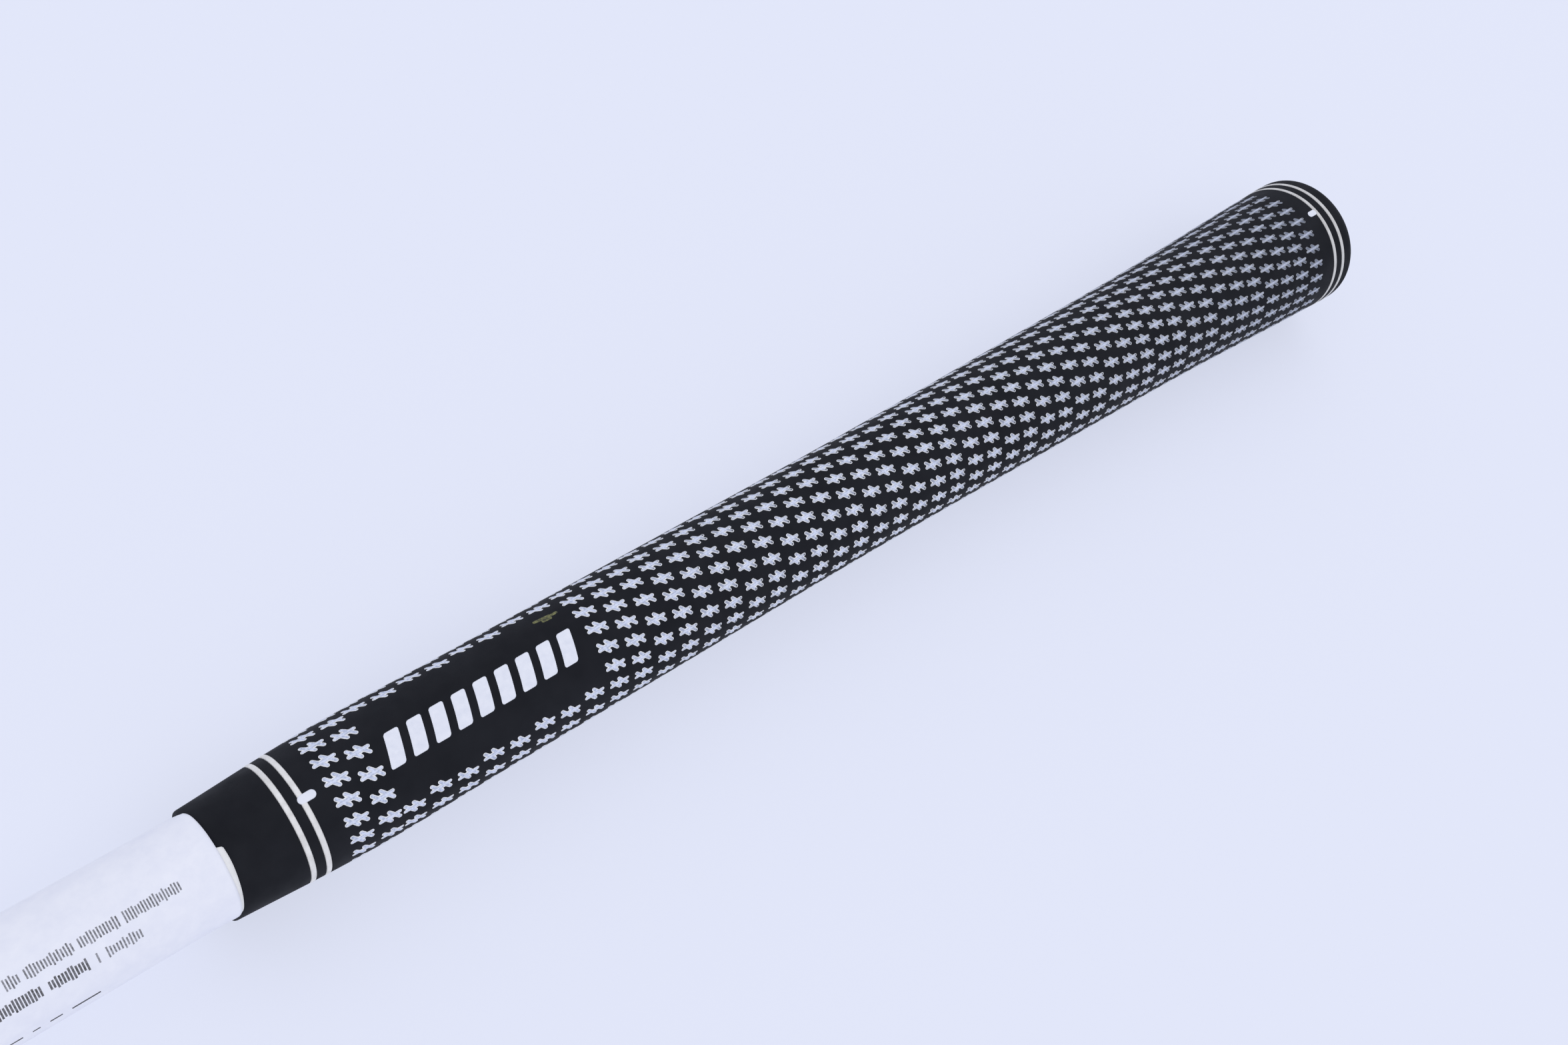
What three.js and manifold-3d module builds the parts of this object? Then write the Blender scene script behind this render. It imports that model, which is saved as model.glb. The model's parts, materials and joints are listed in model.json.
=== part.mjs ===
// A fairway wood: a hollow lofted head with an adjustable hosel, on a graphite shaft with a rubber grip.
// Lengths are in millimetres and angles in degrees.
//
// Two frames are used. The shaft frame has X along the shaft from the ground point to the butt, Y towards
// the back of the head and Z towards the toe. The head frame is the club at address: X from heel to toe,
// Y towards the target and Z up, with the same origin, where the shaft's axis meets the ground.
// The last group lays the club on a floor, on its heel, its rear edge and its butt, with the toe up.
import * as THREE from "three";
import { ParametricGeometry } from "three/addons/geometries/ParametricGeometry.js";
import { mergeVertices } from "three/addons/utils/BufferGeometryUtils.js";
import Module from "manifold-3d";

const wasm = await Module();
wasm.setup();

// The whole club
const CLUB_LENGTH = 1092; // 43 inches, from the ground point to the end of the butt cap
const LIE = 57;
const LOFT = 15;
const GAP = 0.3; // between pieces that are bonded or clamped together
const CUT_PAST = 1; // how far a cutter runs past the surface that it opens
const ROUND = 28; // sides of a round piece
const SMALL_ROUND = 20; // sides of a small round piece
const OUTLINE_STEPS = 40; // sides of a rounded outline

// Grip: radii along its length, from the mouth to the butt
const GRIP_LENGTH = 272.2;
const GRIP_STATIONS = [
  [0, 9.4],
  [22, 10.69],
  [48, 10.69],
  [83, 10.75],
  [133, 10.88],
  [184, 11.82],
  [224, 12.71],
  [250, 13.8],
  [269, 14.5],
];
const SLEEVE_RINGS = [5, 10, 20, 45, 80, 130, 155, 180, 200, 220, 235, 250]; // where its outside is drawn
const MOUTH_LIP = 0.5; // rounding of the grip's thin end
const CAP_SEAM = 267; // from the mouth
const CAP_EDGE = 2.6; // rounding of the butt
const VENT_RADIUS = 1.6;
const CAP_WALL = 3.4;
const GRIP_SIDES = 40;
const TAPE_THICKNESS = 0.3;
const TAPE_START = 3; // from the mouth
const TAPE_CLEARANCE = 1; // short of the shaft's butt

// Shaft
const SHAFT_BUTT_RADIUS = 7.62; // 0.600 inch
const SHAFT_TIP_RADIUS = 4.25; // 0.335 inch
const SHAFT_TIP_BORE = 1.9;
const SHAFT_BUTT_WALL = 1.1;
const SHAFT_TIP_START = 31;
const SHAFT_PARALLEL_END = 130;
const SHAFT_BUTT_END = CLUB_LENGTH - CAP_WALL - GAP;
const TIP_PIN_LENGTH = 22;
const TIP_PIN_INSET = 0.5;

// Paper label, rolled round the shaft against the mouth of the grip
const LABEL_LENGTH = 190;
const LABEL_RADIUS = 8.75;
const LABEL_THICKNESS = 0.35;
const LABEL_OVERLAP = 100; // degrees
const LABEL_SLACK = 0.12; // between one turn of paper and the next
const LABEL_LIFT = 0.25; // how far the overlapping edge stands off
const LABEL_LIFT_ANGLE = 25;
const LABEL_SEAM = 5; // degrees round the shaft where the paper starts
const LABEL_STEPS = 56;

// Hosel, from the sole up the shaft's axis: places along the axis and outer radii
const HOSEL_FOOT = [-6, 8.4]; // it is trimmed level with the sole
const HOSEL_START = [[12, 0], [15, 5], [19, 7.4]]; // rounded where it leaves the crown
const HOSEL_FLARE = [[26, 8.4], [36, 7.5]];
const HOSEL_TOP = 56;
const HOSEL_RADIUS = 7;
const HOSEL_BORE = 6.1;
const SEAT_BOTTOM = 14.3;
const SEAT_TOP = 17;
const SEAT_HOLE = 2.9;
const PORT_RADIUS = 5.3;
const COG_HEIGHT = 5.2;
const COG_RADIUS = 7.15;
const COG_BORE = 6.2;
const COG_KEYS = 8; // marks cut round each cog
const COG_KEY_SIZE = [1.4, 0.8, 0.8];
const FERRULE_LENGTH = 24;
const FERRULE_FOOT_RADIUS = 7;
const FERRULE_TOP_RADIUS = 4.9;
const FERRULE_BULGE = 0.55;
const FERRULE_STEPS = 6;
const ADAPTER_BOTTOM = 20;
const ADAPTER_RADIUS = 5.8;
const ADAPTER_CHAMFER = 1;
const ADAPTER_THREAD_TOP = 29.5;

// Screws
const SCREW_HEAD_RADIUS = 4.3;
const SCREW_HEAD_HEIGHT = 4.4;
const SCREW_SHANK_RADIUS = 2.4;
const SCREW_CHAMFER = 0.4;
const SCREW_POINT = 0.5; // taper at the end of the hosel screw
const SCREW_END_GAP = 0.4; // below the floor of the adapter's thread
const RECESS_RADIUS = 2.1;
const RECESS_DEPTH = 2.4;
const RECESS_LOBES = 6;
const RECESS_LOBE_DEPTH = 0.14; // as a share of the recess's radius
const RECESS_STEPS = 24;
const WASHER_HEIGHT = 1;
const RETAINER_HEIGHT = 1.4;
const RETAINER_RADIUS = 4.1;
const RETAINER_SLACK = 0.05;

// Head
const HEAD_SLICES = 40;
const HEAD_STACKS = 16;
const HEAD_CENTRE = [30, -26];
const HEAD_HALF_WIDTH = 51;
const FACE_DEPTH = 42; // from the centre forward to the face
const BACK_DEPTH = 40;
const SKIRT_HEIGHT = 15.5;
const CROWN_RISE = 20.5;
const CROWN_TILT = 0.1; // the crown falls towards the back
const FACE_BLEND = [-0.1, 0.9]; // where the back's round shape passes into the face's square one
const OUTLINE_POWER = [2.15, 3.6]; // of the superellipse seen from above, at the back and at the face
const PROFILE_POWER = [2.3, 4.8]; // of the superellipse seen from the side
const BODY_WALL = 1.15;
const FACE_WALL = 2.1;
const CROWN_WALL = 0.8;
const LEDGE_DEPTH = CROWN_WALL + GAP;
const LEDGE_WALL = 0.9;
const LEDGE_WIDTH = 4;
const LEDGE_MARGIN = 1; // how far the ledge runs under the body outside the panel
const CROWN_PANEL = { x: 37.5, y: -28.5, halfX: 38, halfY: 32, corner: 2.5 };
const CROWN_CUT = [20, 60]; // heights that a cutter for the crown spans
const FACE_PLATE = { x: 33, z: 17.5, halfX: 35, halfZ: 12.5, corner: 2.6 };
const FACE_CUT = [4, 30]; // distances forward that a cutter for the face spans

// Weights, each held by its own screw in a port of the sole
const WEIGHT_RADIUS = 6.2;
const WEIGHT_HEIGHT = 4.6;
const WEIGHT_CHAMFER = 0.5;
const COUNTERSINK_RADIUS = 4.2;
const COUNTERSINK_DEPTH = 2.2;
const COUNTERSINK_TAPER = 0.4;
const WEIGHT_SCREW_RADIUS = 2;
const WEIGHT_SCREW_LENGTH = 9;
const WEIGHT_SCREW_HEAD_RADIUS = 3.9;
const WEIGHT_SCREW_HEAD = [0.1, 1.9]; // where its head starts and ends, above the weight's outer face
const WEIGHT_RECESS_DEPTH = 1.4;
const WEIGHT_INSET = 0.5; // how far a weight sits below the sole
const PORT_WALL = 1.6;
const PORT_BELOW = 8; // how far a cutter reaches outside the sole
const PORT_FLOOR = WEIGHT_INSET + WEIGHT_HEIGHT + GAP;
const PORT_TOP = PORT_FLOOR + 6.5;
const PORTS = {
  front: { place: [34, -3, 0.3], tilt: 0 },
  rear: { place: [32, -54, 3.6], tilt: -17 },
};

// Tungsten bar inside the front of the sole
const BAR_SIZE = [40, 5, 5];
const BAR_PLACE = [40, -15, 5.4];

// How the club lies: turned about its shaft, then tipped until the butt touches the floor
const LYING_ROLL = 2.53;
const LYING_PITCH = -0.25;

const rad = THREE.MathUtils.degToRad;

function lerpStations(stations, at) {
  const after = stations.findIndex(([place]) => place >= at);
  if (after === 0) return stations[0][1];
  if (after < 0) return stations[stations.length - 1][1];
  const [x0, y0] = stations[after - 1];
  const [x1, y1] = stations[after];
  return y0 + ((y1 - y0) * (at - x0)) / (x1 - x0);
}

// ---- solids ----

// A closed geometry as a manifold solid, its faces turned outwards.
function solidOf(geometry) {
  const bare = new THREE.BufferGeometry();
  bare.setAttribute("position", geometry.getAttribute("position").clone());
  bare.setIndex(geometry.index);
  const merged = mergeVertices(bare, 1e-4);
  const corners = merged.index.array;
  const kept = [];
  for (let i = 0; i < corners.length; i += 3) {
    const [a, b, c] = corners.slice(i, i + 3);
    if (a !== b && b !== c && c !== a) kept.push(a, b, c);
  }
  const make = (triangles) =>
    new wasm.Manifold(
      new wasm.Mesh({
        numProp: 3,
        vertProperties: merged.attributes.position.array,
        triVerts: new Uint32Array(triangles),
      }),
    );
  const made = make(kept);
  return made.volume() > 0 ? made : make(kept.reverse());
}

function geometryOf(solid) {
  const mesh = solid.getMesh();
  const geometry = new THREE.BufferGeometry();
  const places = new Float32Array(mesh.numVert * 3);
  for (let i = 0; i < mesh.numVert; i++) {
    places.set(mesh.vertProperties.subarray(i * mesh.numProp, i * mesh.numProp + 3), i * 3);
  }
  geometry.setAttribute("position", new THREE.BufferAttribute(places, 3));
  geometry.setIndex(new THREE.BufferAttribute(mesh.triVerts, 1));
  geometry.computeVertexNormals();
  return geometry;
}

// A profile of [along, radius] pairs turned about the shaft's axis.
function turned(profile, sides = ROUND) {
  const points = profile.map(([along, radius]) => new THREE.Vector2(radius, along));
  const geometry = new THREE.LatheGeometry(points, sides);
  geometry.rotateZ(-Math.PI / 2);
  return solidOf(geometry);
}

function ring(start, end, inner, outer, sides = ROUND) {
  return turned([[start, inner], [end, inner], [end, outer], [start, outer], [start, inner]], sides);
}

function rod(start, end, radius, sides = ROUND) {
  return turned([[start, 0], [start, radius], [end, radius], [end, 0]], sides);
}

// A piece whose axis is X, set into a port of the sole so that its axis points into the head.
function inPort(solid, { place, tilt }) {
  const matrix = new THREE.Matrix4().makeRotationX(rad(tilt));
  matrix.multiply(new THREE.Matrix4().makeRotationY(-Math.PI / 2)).setPosition(...place);
  return solid.transform(matrix.elements);
}

// A six-lobed driver recess, as the cutter that makes it.
function lobedRecess(start, depth) {
  const shape = new THREE.Shape();
  for (let i = 0; i < RECESS_STEPS; i++) {
    const angle = (i / RECESS_STEPS) * 2 * Math.PI;
    const lobe = RECESS_LOBE_DEPTH * (1 - Math.cos(RECESS_LOBES * angle));
    const radius = RECESS_RADIUS * (1 - lobe);
    const point = [radius * Math.cos(angle), radius * Math.sin(angle)];
    if (i === 0) shape.moveTo(...point);
    else shape.lineTo(...point);
  }
  shape.closePath();
  const geometry = new THREE.ExtrudeGeometry(shape, { depth, bevelEnabled: false });
  geometry.rotateY(Math.PI / 2);
  geometry.translate(start, 0, 0);
  return solidOf(geometry);
}

// ---- head shape ----

// The signed power that makes a superellipse from a circle.
function squared(value, exponent) {
  return Math.sign(value) * Math.abs(value) ** (2 / exponent);
}

// A point of the head's outer surface moved in by a wall. Around runs 0..1 from the toe through the face;
// rise runs 0..1 from the middle of the sole to the middle of the crown.
function headPoint(around, rise, wall, target) {
  const turn = around * 2 * Math.PI;
  const climb = (rise - 0.5) * Math.PI;
  const toFace = THREE.MathUtils.smoothstep(Math.sin(turn), ...FACE_BLEND);
  const outline = THREE.MathUtils.lerp(...OUTLINE_POWER, toFace);
  const profile = THREE.MathUtils.lerp(...PROFILE_POWER, toFace);
  const out = squared(Math.cos(climb), profile);
  const up = squared(Math.sin(climb), profile);
  const depth = Math.sin(turn) > 0 ? FACE_DEPTH : BACK_DEPTH;
  const x = squared(Math.cos(turn), outline) * (HEAD_HALF_WIDTH - wall) * out;
  let y = squared(Math.sin(turn), outline) * (depth - wall) * out;
  const height = up > 0 ? CROWN_RISE - wall : SKIRT_HEIGHT - wall;
  let z = SKIRT_HEIGHT + height * up;
  y -= Math.tan(rad(LOFT)) * (z - SKIRT_HEIGHT) * toFace * out ** 2;
  if (up > 0) z += CROWN_TILT * y * up;
  target.set(HEAD_CENTRE[0] + x, HEAD_CENTRE[1] + y, z);
}

function headSolid(wall) {
  const surface = (u, v, target) => headPoint(u, v, wall, target);
  return solidOf(new ParametricGeometry(surface, HEAD_SLICES, HEAD_STACKS));
}

// A rounded outline as a prism along Z.
function prism({ x, y, halfX, halfY, corner }, shrink, [bottom, top]) {
  const shape = new THREE.Shape();
  for (let i = 0; i < OUTLINE_STEPS; i++) {
    const angle = (i / OUTLINE_STEPS) * 2 * Math.PI;
    const px = x + squared(Math.cos(angle), corner) * (halfX - shrink);
    const py = y + squared(Math.sin(angle), corner) * (halfY - shrink);
    if (i === 0) shape.moveTo(px, py);
    else shape.lineTo(px, py);
  }
  shape.closePath();
  const geometry = new THREE.ExtrudeGeometry(shape, { depth: top - bottom, bevelEnabled: false });
  geometry.translate(0, 0, bottom);
  return geometry;
}

function crownPrism(shrink) {
  return solidOf(prism(CROWN_PANEL, shrink, CROWN_CUT));
}

function facePrism(shrink) {
  const { x, z, halfX, halfZ, corner } = FACE_PLATE;
  const geometry = prism({ x, y: 0, halfX, halfY: halfZ, corner }, shrink, FACE_CUT);
  geometry.rotateX(-Math.PI / 2);
  geometry.rotateX(rad(LOFT));
  geometry.translate(0, 0, z);
  return solidOf(geometry);
}

// From the shaft frame into the head frame.
function shaftToHead() {
  const lie = rad(LIE);
  const along = new THREE.Vector3(-Math.cos(lie), 0, Math.sin(lie));
  const back = new THREE.Vector3(0, -1, 0);
  const toe = new THREE.Vector3(Math.sin(lie), 0, Math.cos(lie));
  return new THREE.Matrix4().makeBasis(along, back, toe);
}

// The hosel's outside in the head frame, a little larger for the hole that it fills. It runs either through
// the sole or only from inside the head, and the first is trimmed by the head's surface.
function hoselOutside(throughSole, extra) {
  const start = throughSole ? [[HOSEL_FOOT[0], 0], HOSEL_FOOT] : HOSEL_START;
  const profile = [...start, ...HOSEL_FLARE, [HOSEL_TOP, HOSEL_RADIUS]];
  const grown = profile.map(([along, radius]) => [along, radius > 0 ? radius + extra : 0]);
  return turned([...grown, [HOSEL_TOP, 0]]).transform(shaftToHead().elements);
}

function headPieces() {
  const toHead = shaftToHead().elements;
  const outer = headSolid(0);
  const cavity = headSolid(BODY_WALL);
  const faceCavity = headSolid(FACE_WALL);
  const crownLayer = outer.subtract(headSolid(CROWN_WALL));

  const shaftBore = rod(SEAT_TOP, HOSEL_TOP + CUT_PAST, HOSEL_BORE).transform(toHead);
  const seat = rod(SEAT_BOTTOM - CUT_PAST, SEAT_TOP + CUT_PAST, SEAT_HOLE, SMALL_ROUND);
  const seatHole = seat.transform(toHead);
  const wrenchPort = rod(2 * HOSEL_FOOT[0], SEAT_BOTTOM, PORT_RADIUS).transform(toHead);

  let body = outer.subtract(cavity);
  const ports = Object.values(PORTS).map((port) => {
    const boss = rod(-PORT_BELOW, PORT_TOP, WEIGHT_RADIUS + PORT_WALL);
    const pocket = rod(-PORT_BELOW, PORT_FLOOR, WEIGHT_RADIUS + GAP);
    const thread = rod(PORT_FLOOR - CUT_PAST, PORT_TOP + CUT_PAST, WEIGHT_SCREW_RADIUS + GAP, SMALL_ROUND);
    return {
      boss: inPort(boss, port).intersect(outer),
      pocket: inPort(pocket, port),
      thread: inPort(thread, port),
    };
  });
  ports.forEach(({ boss }) => (body = body.add(boss)));
  ports.forEach(({ pocket, thread }) => (body = body.subtract(pocket).subtract(thread)));

  // The crown panel lies in a recess, on a ledge round the opening.
  const panelArea = crownPrism(0);
  const openingArea = crownPrism(LEDGE_WIDTH);
  const ledgeArea = crownPrism(-LEDGE_MARGIN).subtract(openingArea);
  const ledgeTop = headSolid(LEDGE_DEPTH);
  const ledge = ledgeTop.subtract(headSolid(LEDGE_DEPTH + LEDGE_WALL)).intersect(ledgeArea);
  body = body.subtract(openingArea).subtract(panelArea.subtract(ledgeTop)).add(ledge);
  const crown = crownLayer.intersect(crownPrism(GAP));

  // The face plate is thicker than the body and fills an opening in its front wall.
  const plate = outer.subtract(faceCavity).intersect(facePrism(GAP));
  body = body.subtract(facePrism(0));

  // The hosel fills a hole through the heel, from the sole to above the crown.
  const tube = hoselOutside(true, 0).intersect(outer).add(hoselOutside(false, 0));
  const hosel = tube.subtract(shaftBore).subtract(seatHole).subtract(wrenchPort).subtract(facePrism(0));
  body = body.subtract(hoselOutside(true, GAP)).subtract(hoselOutside(false, GAP));
  return { body, hosel, plate, crown };
}

// ---- shaft, grip and label ----

function shaftRadius(along) {
  const stations = [
    [SHAFT_TIP_START, SHAFT_TIP_RADIUS],
    [SHAFT_PARALLEL_END, SHAFT_TIP_RADIUS],
    [CLUB_LENGTH, SHAFT_BUTT_RADIUS],
  ];
  return lerpStations(stations, along);
}

function shaftSolid() {
  const boreAtButt = SHAFT_BUTT_RADIUS - SHAFT_BUTT_WALL;
  return turned([
    [SHAFT_TIP_START, SHAFT_TIP_BORE],
    [SHAFT_PARALLEL_END, SHAFT_TIP_BORE],
    [SHAFT_BUTT_END, boreAtButt],
    [SHAFT_BUTT_END, shaftRadius(SHAFT_BUTT_END)],
    [SHAFT_PARALLEL_END, SHAFT_TIP_RADIUS],
    [SHAFT_TIP_START, SHAFT_TIP_RADIUS],
    [SHAFT_TIP_START, SHAFT_TIP_BORE],
  ]);
}

const GRIP_MOUTH = CLUB_LENGTH - GRIP_LENGTH;

// The grip's outer radius, with a curve through its stations so that it has no corners.
function gripRadius(fromMouth) {
  const curve = GRIP_STATIONS.map(([place, radius]) => new THREE.Vector2(place, radius));
  const spline = new THREE.SplineCurve(curve);
  let low = 0;
  let high = 1;
  const halvings = 30;
  for (let i = 0; i < halvings; i++) {
    const middle = (low + high) / 2;
    if (spline.getPoint(middle).x < fromMouth) low = middle;
    else high = middle;
  }
  return spline.getPoint(low).y;
}

function tapeOuter(along) {
  return shaftRadius(along) + GAP / 2 + TAPE_THICKNESS;
}

function gripSleeve() {
  const end = CAP_SEAM - GAP;
  const outside = [[0, gripRadius(0) - MOUTH_LIP], [MOUTH_LIP, gripRadius(0)]];
  SLEEVE_RINGS.forEach((place) => outside.push([place, gripRadius(place)]));
  outside.push([end, gripRadius(end)]);
  const inner = (place) => tapeOuter(GRIP_MOUTH + place) + GAP / 2;
  const profile = [[0, inner(0)], ...outside, [end, inner(end)], [0, inner(0)]];
  return turned(profile.map(([place, radius]) => [GRIP_MOUTH + place, radius]), GRIP_SIDES);
}

function gripTape() {
  const start = GRIP_MOUTH + TAPE_START;
  const end = SHAFT_BUTT_END - TAPE_CLEARANCE;
  const inner = (along) => shaftRadius(along) + GAP / 2;
  return turned([
    [start, inner(start)],
    [end, inner(end)],
    [end, tapeOuter(end)],
    [start, tapeOuter(start)],
    [start, inner(start)],
  ]);
}

// The butt cap: a cup over the end of the shaft, with a vent hole through its middle.
function gripCap() {
  const start = GRIP_MOUTH + CAP_SEAM;
  const radius = gripRadius(GRIP_LENGTH - CAP_EDGE);
  const bore = tapeOuter(CLUB_LENGTH) + GAP;
  const floor = CLUB_LENGTH - CAP_WALL;
  const rounding = [0, 22.5, 45, 67.5, 90].map((angle) => [
    CLUB_LENGTH - CAP_EDGE + CAP_EDGE * Math.sin(rad(angle)),
    radius - CAP_EDGE + CAP_EDGE * Math.cos(rad(angle)),
  ]);
  return turned(
    [
      [start, bore],
      [start, gripRadius(CAP_SEAM)],
      ...rounding,
      [CLUB_LENGTH, VENT_RADIUS],
      [floor, VENT_RADIUS],
      [floor, bore],
      [start, bore],
    ],
    GRIP_SIDES,
  );
}

// A rolled sheet: one turn and an overlap, with its free edge a little proud.
function paperLabel() {
  const outer = [];
  const inner = [];
  const turns = 360 + LABEL_OVERLAP;
  for (let i = 0; i <= LABEL_STEPS; i++) {
    const angle = (i / LABEL_STEPS) * turns;
    const wound = (angle / 360) * (LABEL_THICKNESS + LABEL_SLACK);
    const lift = LABEL_LIFT * Math.max(0, (angle - turns) / LABEL_LIFT_ANGLE + 1) ** 2;
    const radius = LABEL_RADIUS - 2 * LABEL_THICKNESS + wound + lift;
    const direction = rad(LABEL_SEAM + angle);
    const at = (r) => new THREE.Vector2(r * Math.cos(direction), r * Math.sin(direction));
    outer.push(at(radius + LABEL_THICKNESS));
    inner.push(at(radius));
  }
  const shape = new THREE.Shape([...outer, ...inner.reverse()]);
  const geometry = new THREE.ExtrudeGeometry(shape, { depth: LABEL_LENGTH, bevelEnabled: false });
  geometry.rotateY(Math.PI / 2);
  geometry.translate(GRIP_MOUTH - GAP - LABEL_LENGTH, 0, 0);
  return solidOf(geometry);
}

// ---- hosel pieces ----

function adapterSleeve() {
  const top = HOSEL_TOP + 2 * COG_HEIGHT + 3 * GAP;
  const bore = SHAFT_TIP_RADIUS + GAP / 2;
  return turned([
    [ADAPTER_BOTTOM, SCREW_SHANK_RADIUS + GAP / 2],
    [ADAPTER_THREAD_TOP, SCREW_SHANK_RADIUS + GAP / 2],
    [ADAPTER_THREAD_TOP, bore],
    [top, bore],
    [top, ADAPTER_RADIUS],
    [ADAPTER_BOTTOM + ADAPTER_CHAMFER, ADAPTER_RADIUS],
    [ADAPTER_BOTTOM, ADAPTER_RADIUS - ADAPTER_CHAMFER],
    [ADAPTER_BOTTOM, SCREW_SHANK_RADIUS + GAP / 2],
  ]);
}

// A cog is a ring with shallow marks round its rim, which are lined up to choose loft and lie.
function cog(start) {
  let made = ring(start, start + COG_HEIGHT, COG_BORE, COG_RADIUS);
  for (let i = 0; i < COG_KEYS; i++) {
    const notch = new THREE.BoxGeometry(...COG_KEY_SIZE);
    notch.translate(start + COG_HEIGHT, 0, COG_RADIUS);
    notch.rotateX((i / COG_KEYS) * 2 * Math.PI);
    made = made.subtract(solidOf(notch));
  }
  return made;
}

function ferrule() {
  const start = HOSEL_TOP + 2 * COG_HEIGHT + 4 * GAP;
  const end = start + FERRULE_LENGTH;
  const bore = SHAFT_TIP_RADIUS + GAP / 2;
  const outside = [];
  for (let i = 0; i <= FERRULE_STEPS; i++) {
    const share = i / FERRULE_STEPS;
    const straight = THREE.MathUtils.lerp(FERRULE_FOOT_RADIUS, FERRULE_TOP_RADIUS, share);
    const bulge = FERRULE_BULGE * Math.sin(Math.PI * share);
    outside.push([start + share * FERRULE_LENGTH, straight + bulge]);
  }
  return turned([[start, bore], ...outside, [end, bore], [start, bore]]);
}

const HOSEL_HEAD_TOP = SEAT_BOTTOM - WASHER_HEIGHT - 2 * GAP;

function hoselScrew() {
  const headBottom = HOSEL_HEAD_TOP - SCREW_HEAD_HEIGHT;
  const end = ADAPTER_THREAD_TOP - SCREW_END_GAP;
  const screw = turned([
    [headBottom, 0],
    [headBottom, SCREW_HEAD_RADIUS - SCREW_CHAMFER],
    [headBottom + SCREW_CHAMFER, SCREW_HEAD_RADIUS],
    [HOSEL_HEAD_TOP, SCREW_HEAD_RADIUS],
    [HOSEL_HEAD_TOP, SCREW_SHANK_RADIUS],
    [end - SCREW_POINT, SCREW_SHANK_RADIUS],
    [end, SCREW_SHANK_RADIUS - SCREW_POINT],
    [end, 0],
  ]);
  return screw.subtract(lobedRecess(headBottom - CUT_PAST, RECESS_DEPTH + CUT_PAST));
}

// ---- weights, in the head frame about the port's own axis, with Z up into the head ----

function weightDisc(bottom) {
  const top = bottom + WEIGHT_HEIGHT;
  const hole = WEIGHT_SCREW_RADIUS + GAP / 2;
  return turned([
    [bottom, COUNTERSINK_RADIUS],
    [bottom, WEIGHT_RADIUS - WEIGHT_CHAMFER],
    [bottom + WEIGHT_CHAMFER, WEIGHT_RADIUS],
    [top, WEIGHT_RADIUS],
    [top, hole],
    [bottom + COUNTERSINK_DEPTH + COUNTERSINK_TAPER, hole],
    [bottom + COUNTERSINK_DEPTH, COUNTERSINK_RADIUS],
    [bottom, COUNTERSINK_RADIUS],
  ]);
}

function weightScrew(bottom) {
  const [headStart, headEnd] = WEIGHT_SCREW_HEAD.map((place) => bottom + place);
  const end = bottom + WEIGHT_SCREW_LENGTH;
  const profile = [
    [headStart, 0],
    [headStart, WEIGHT_SCREW_HEAD_RADIUS],
    [headEnd, WEIGHT_SCREW_HEAD_RADIUS],
    [headEnd + COUNTERSINK_TAPER, WEIGHT_SCREW_RADIUS],
    [end, WEIGHT_SCREW_RADIUS],
    [end, 0],
  ];
  const recess = lobedRecess(headStart - CUT_PAST, WEIGHT_RECESS_DEPTH + CUT_PAST);
  return turned(profile, SMALL_ROUND).subtract(recess);
}

// ---- materials ----

function surface(color, roughness, metalness) {
  return new THREE.MeshStandardMaterial({ color, roughness, metalness });
}

const RUBBER = surface(0x232529, 0.85, 0);
const CAP_RUBBER = surface(0x1d1e21, 0.7, 0);
const TAPE = surface(0xd8cfa8, 0.8, 0);
const GRAPHITE = surface(0x1b1d22, 0.3, 0);
const PAPER = surface(0xf4f5fb, 0.7, 0);
const BLACK_PLASTIC = surface(0x111114, 0.35, 0);
const ANODISED = surface(0x2a2c30, 0.4, 0.9);
const STEEL = surface(0xa9acb3, 0.35, 1);
const SEAL_RUBBER = surface(0x141416, 0.8, 0);
const HEAD_PAINT = surface(0x17181c, 0.3, 0.4);
const FACE_STEEL = surface(0x6e7178, 0.4, 1);
const CARBON = surface(0x101114, 0.2, 0);
const TUNGSTEN = surface(0x54565c, 0.5, 1);

function piece(name, solid, material) {
  const mesh = new THREE.Mesh(geometryOf(solid), material.clone());
  mesh.name = name;
  return mesh;
}

// ---- assembly ----

function shaftGroup() {
  const group = new THREE.Group();
  const lowerCog = HOSEL_TOP + GAP;
  const upperCog = lowerCog + COG_HEIGHT + GAP;
  const washer = HOSEL_HEAD_TOP + GAP;
  const retainer = SEAT_TOP + GAP;
  const pin = SHAFT_TIP_START + TIP_PIN_INSET;
  const screwBore = SCREW_SHANK_RADIUS + GAP / 2;
  group.add(
    piece("grip_sleeve", gripSleeve(), RUBBER),
    piece("grip_end_cap", gripCap(), CAP_RUBBER),
    piece("grip_tape", gripTape(), TAPE),
    piece("shaft", shaftSolid(), GRAPHITE),
    piece("paper_label", paperLabel(), PAPER),
    piece(
      "tip_weight_pin",
      rod(pin, pin + TIP_PIN_LENGTH, SHAFT_TIP_BORE - GAP / 2, SMALL_ROUND),
      STEEL,
    ),
    piece("ferrule", ferrule(), BLACK_PLASTIC),
    piece("adapter_sleeve", adapterSleeve(), ANODISED),
    piece("upper_cog", cog(upperCog), ANODISED),
    piece("lower_cog", cog(lowerCog), ANODISED),
    piece("hosel_screw", hoselScrew(), STEEL),
    piece(
      "screw_washer",
      ring(washer, washer + WASHER_HEIGHT, screwBore, SCREW_HEAD_RADIUS),
      STEEL,
    ),
    piece(
      "screw_retainer",
      ring(
        retainer,
        retainer + RETAINER_HEIGHT,
        SCREW_SHANK_RADIUS + RETAINER_SLACK,
        RETAINER_RADIUS,
        SMALL_ROUND,
      ),
      SEAL_RUBBER,
    ),
  );
  return group;
}

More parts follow.
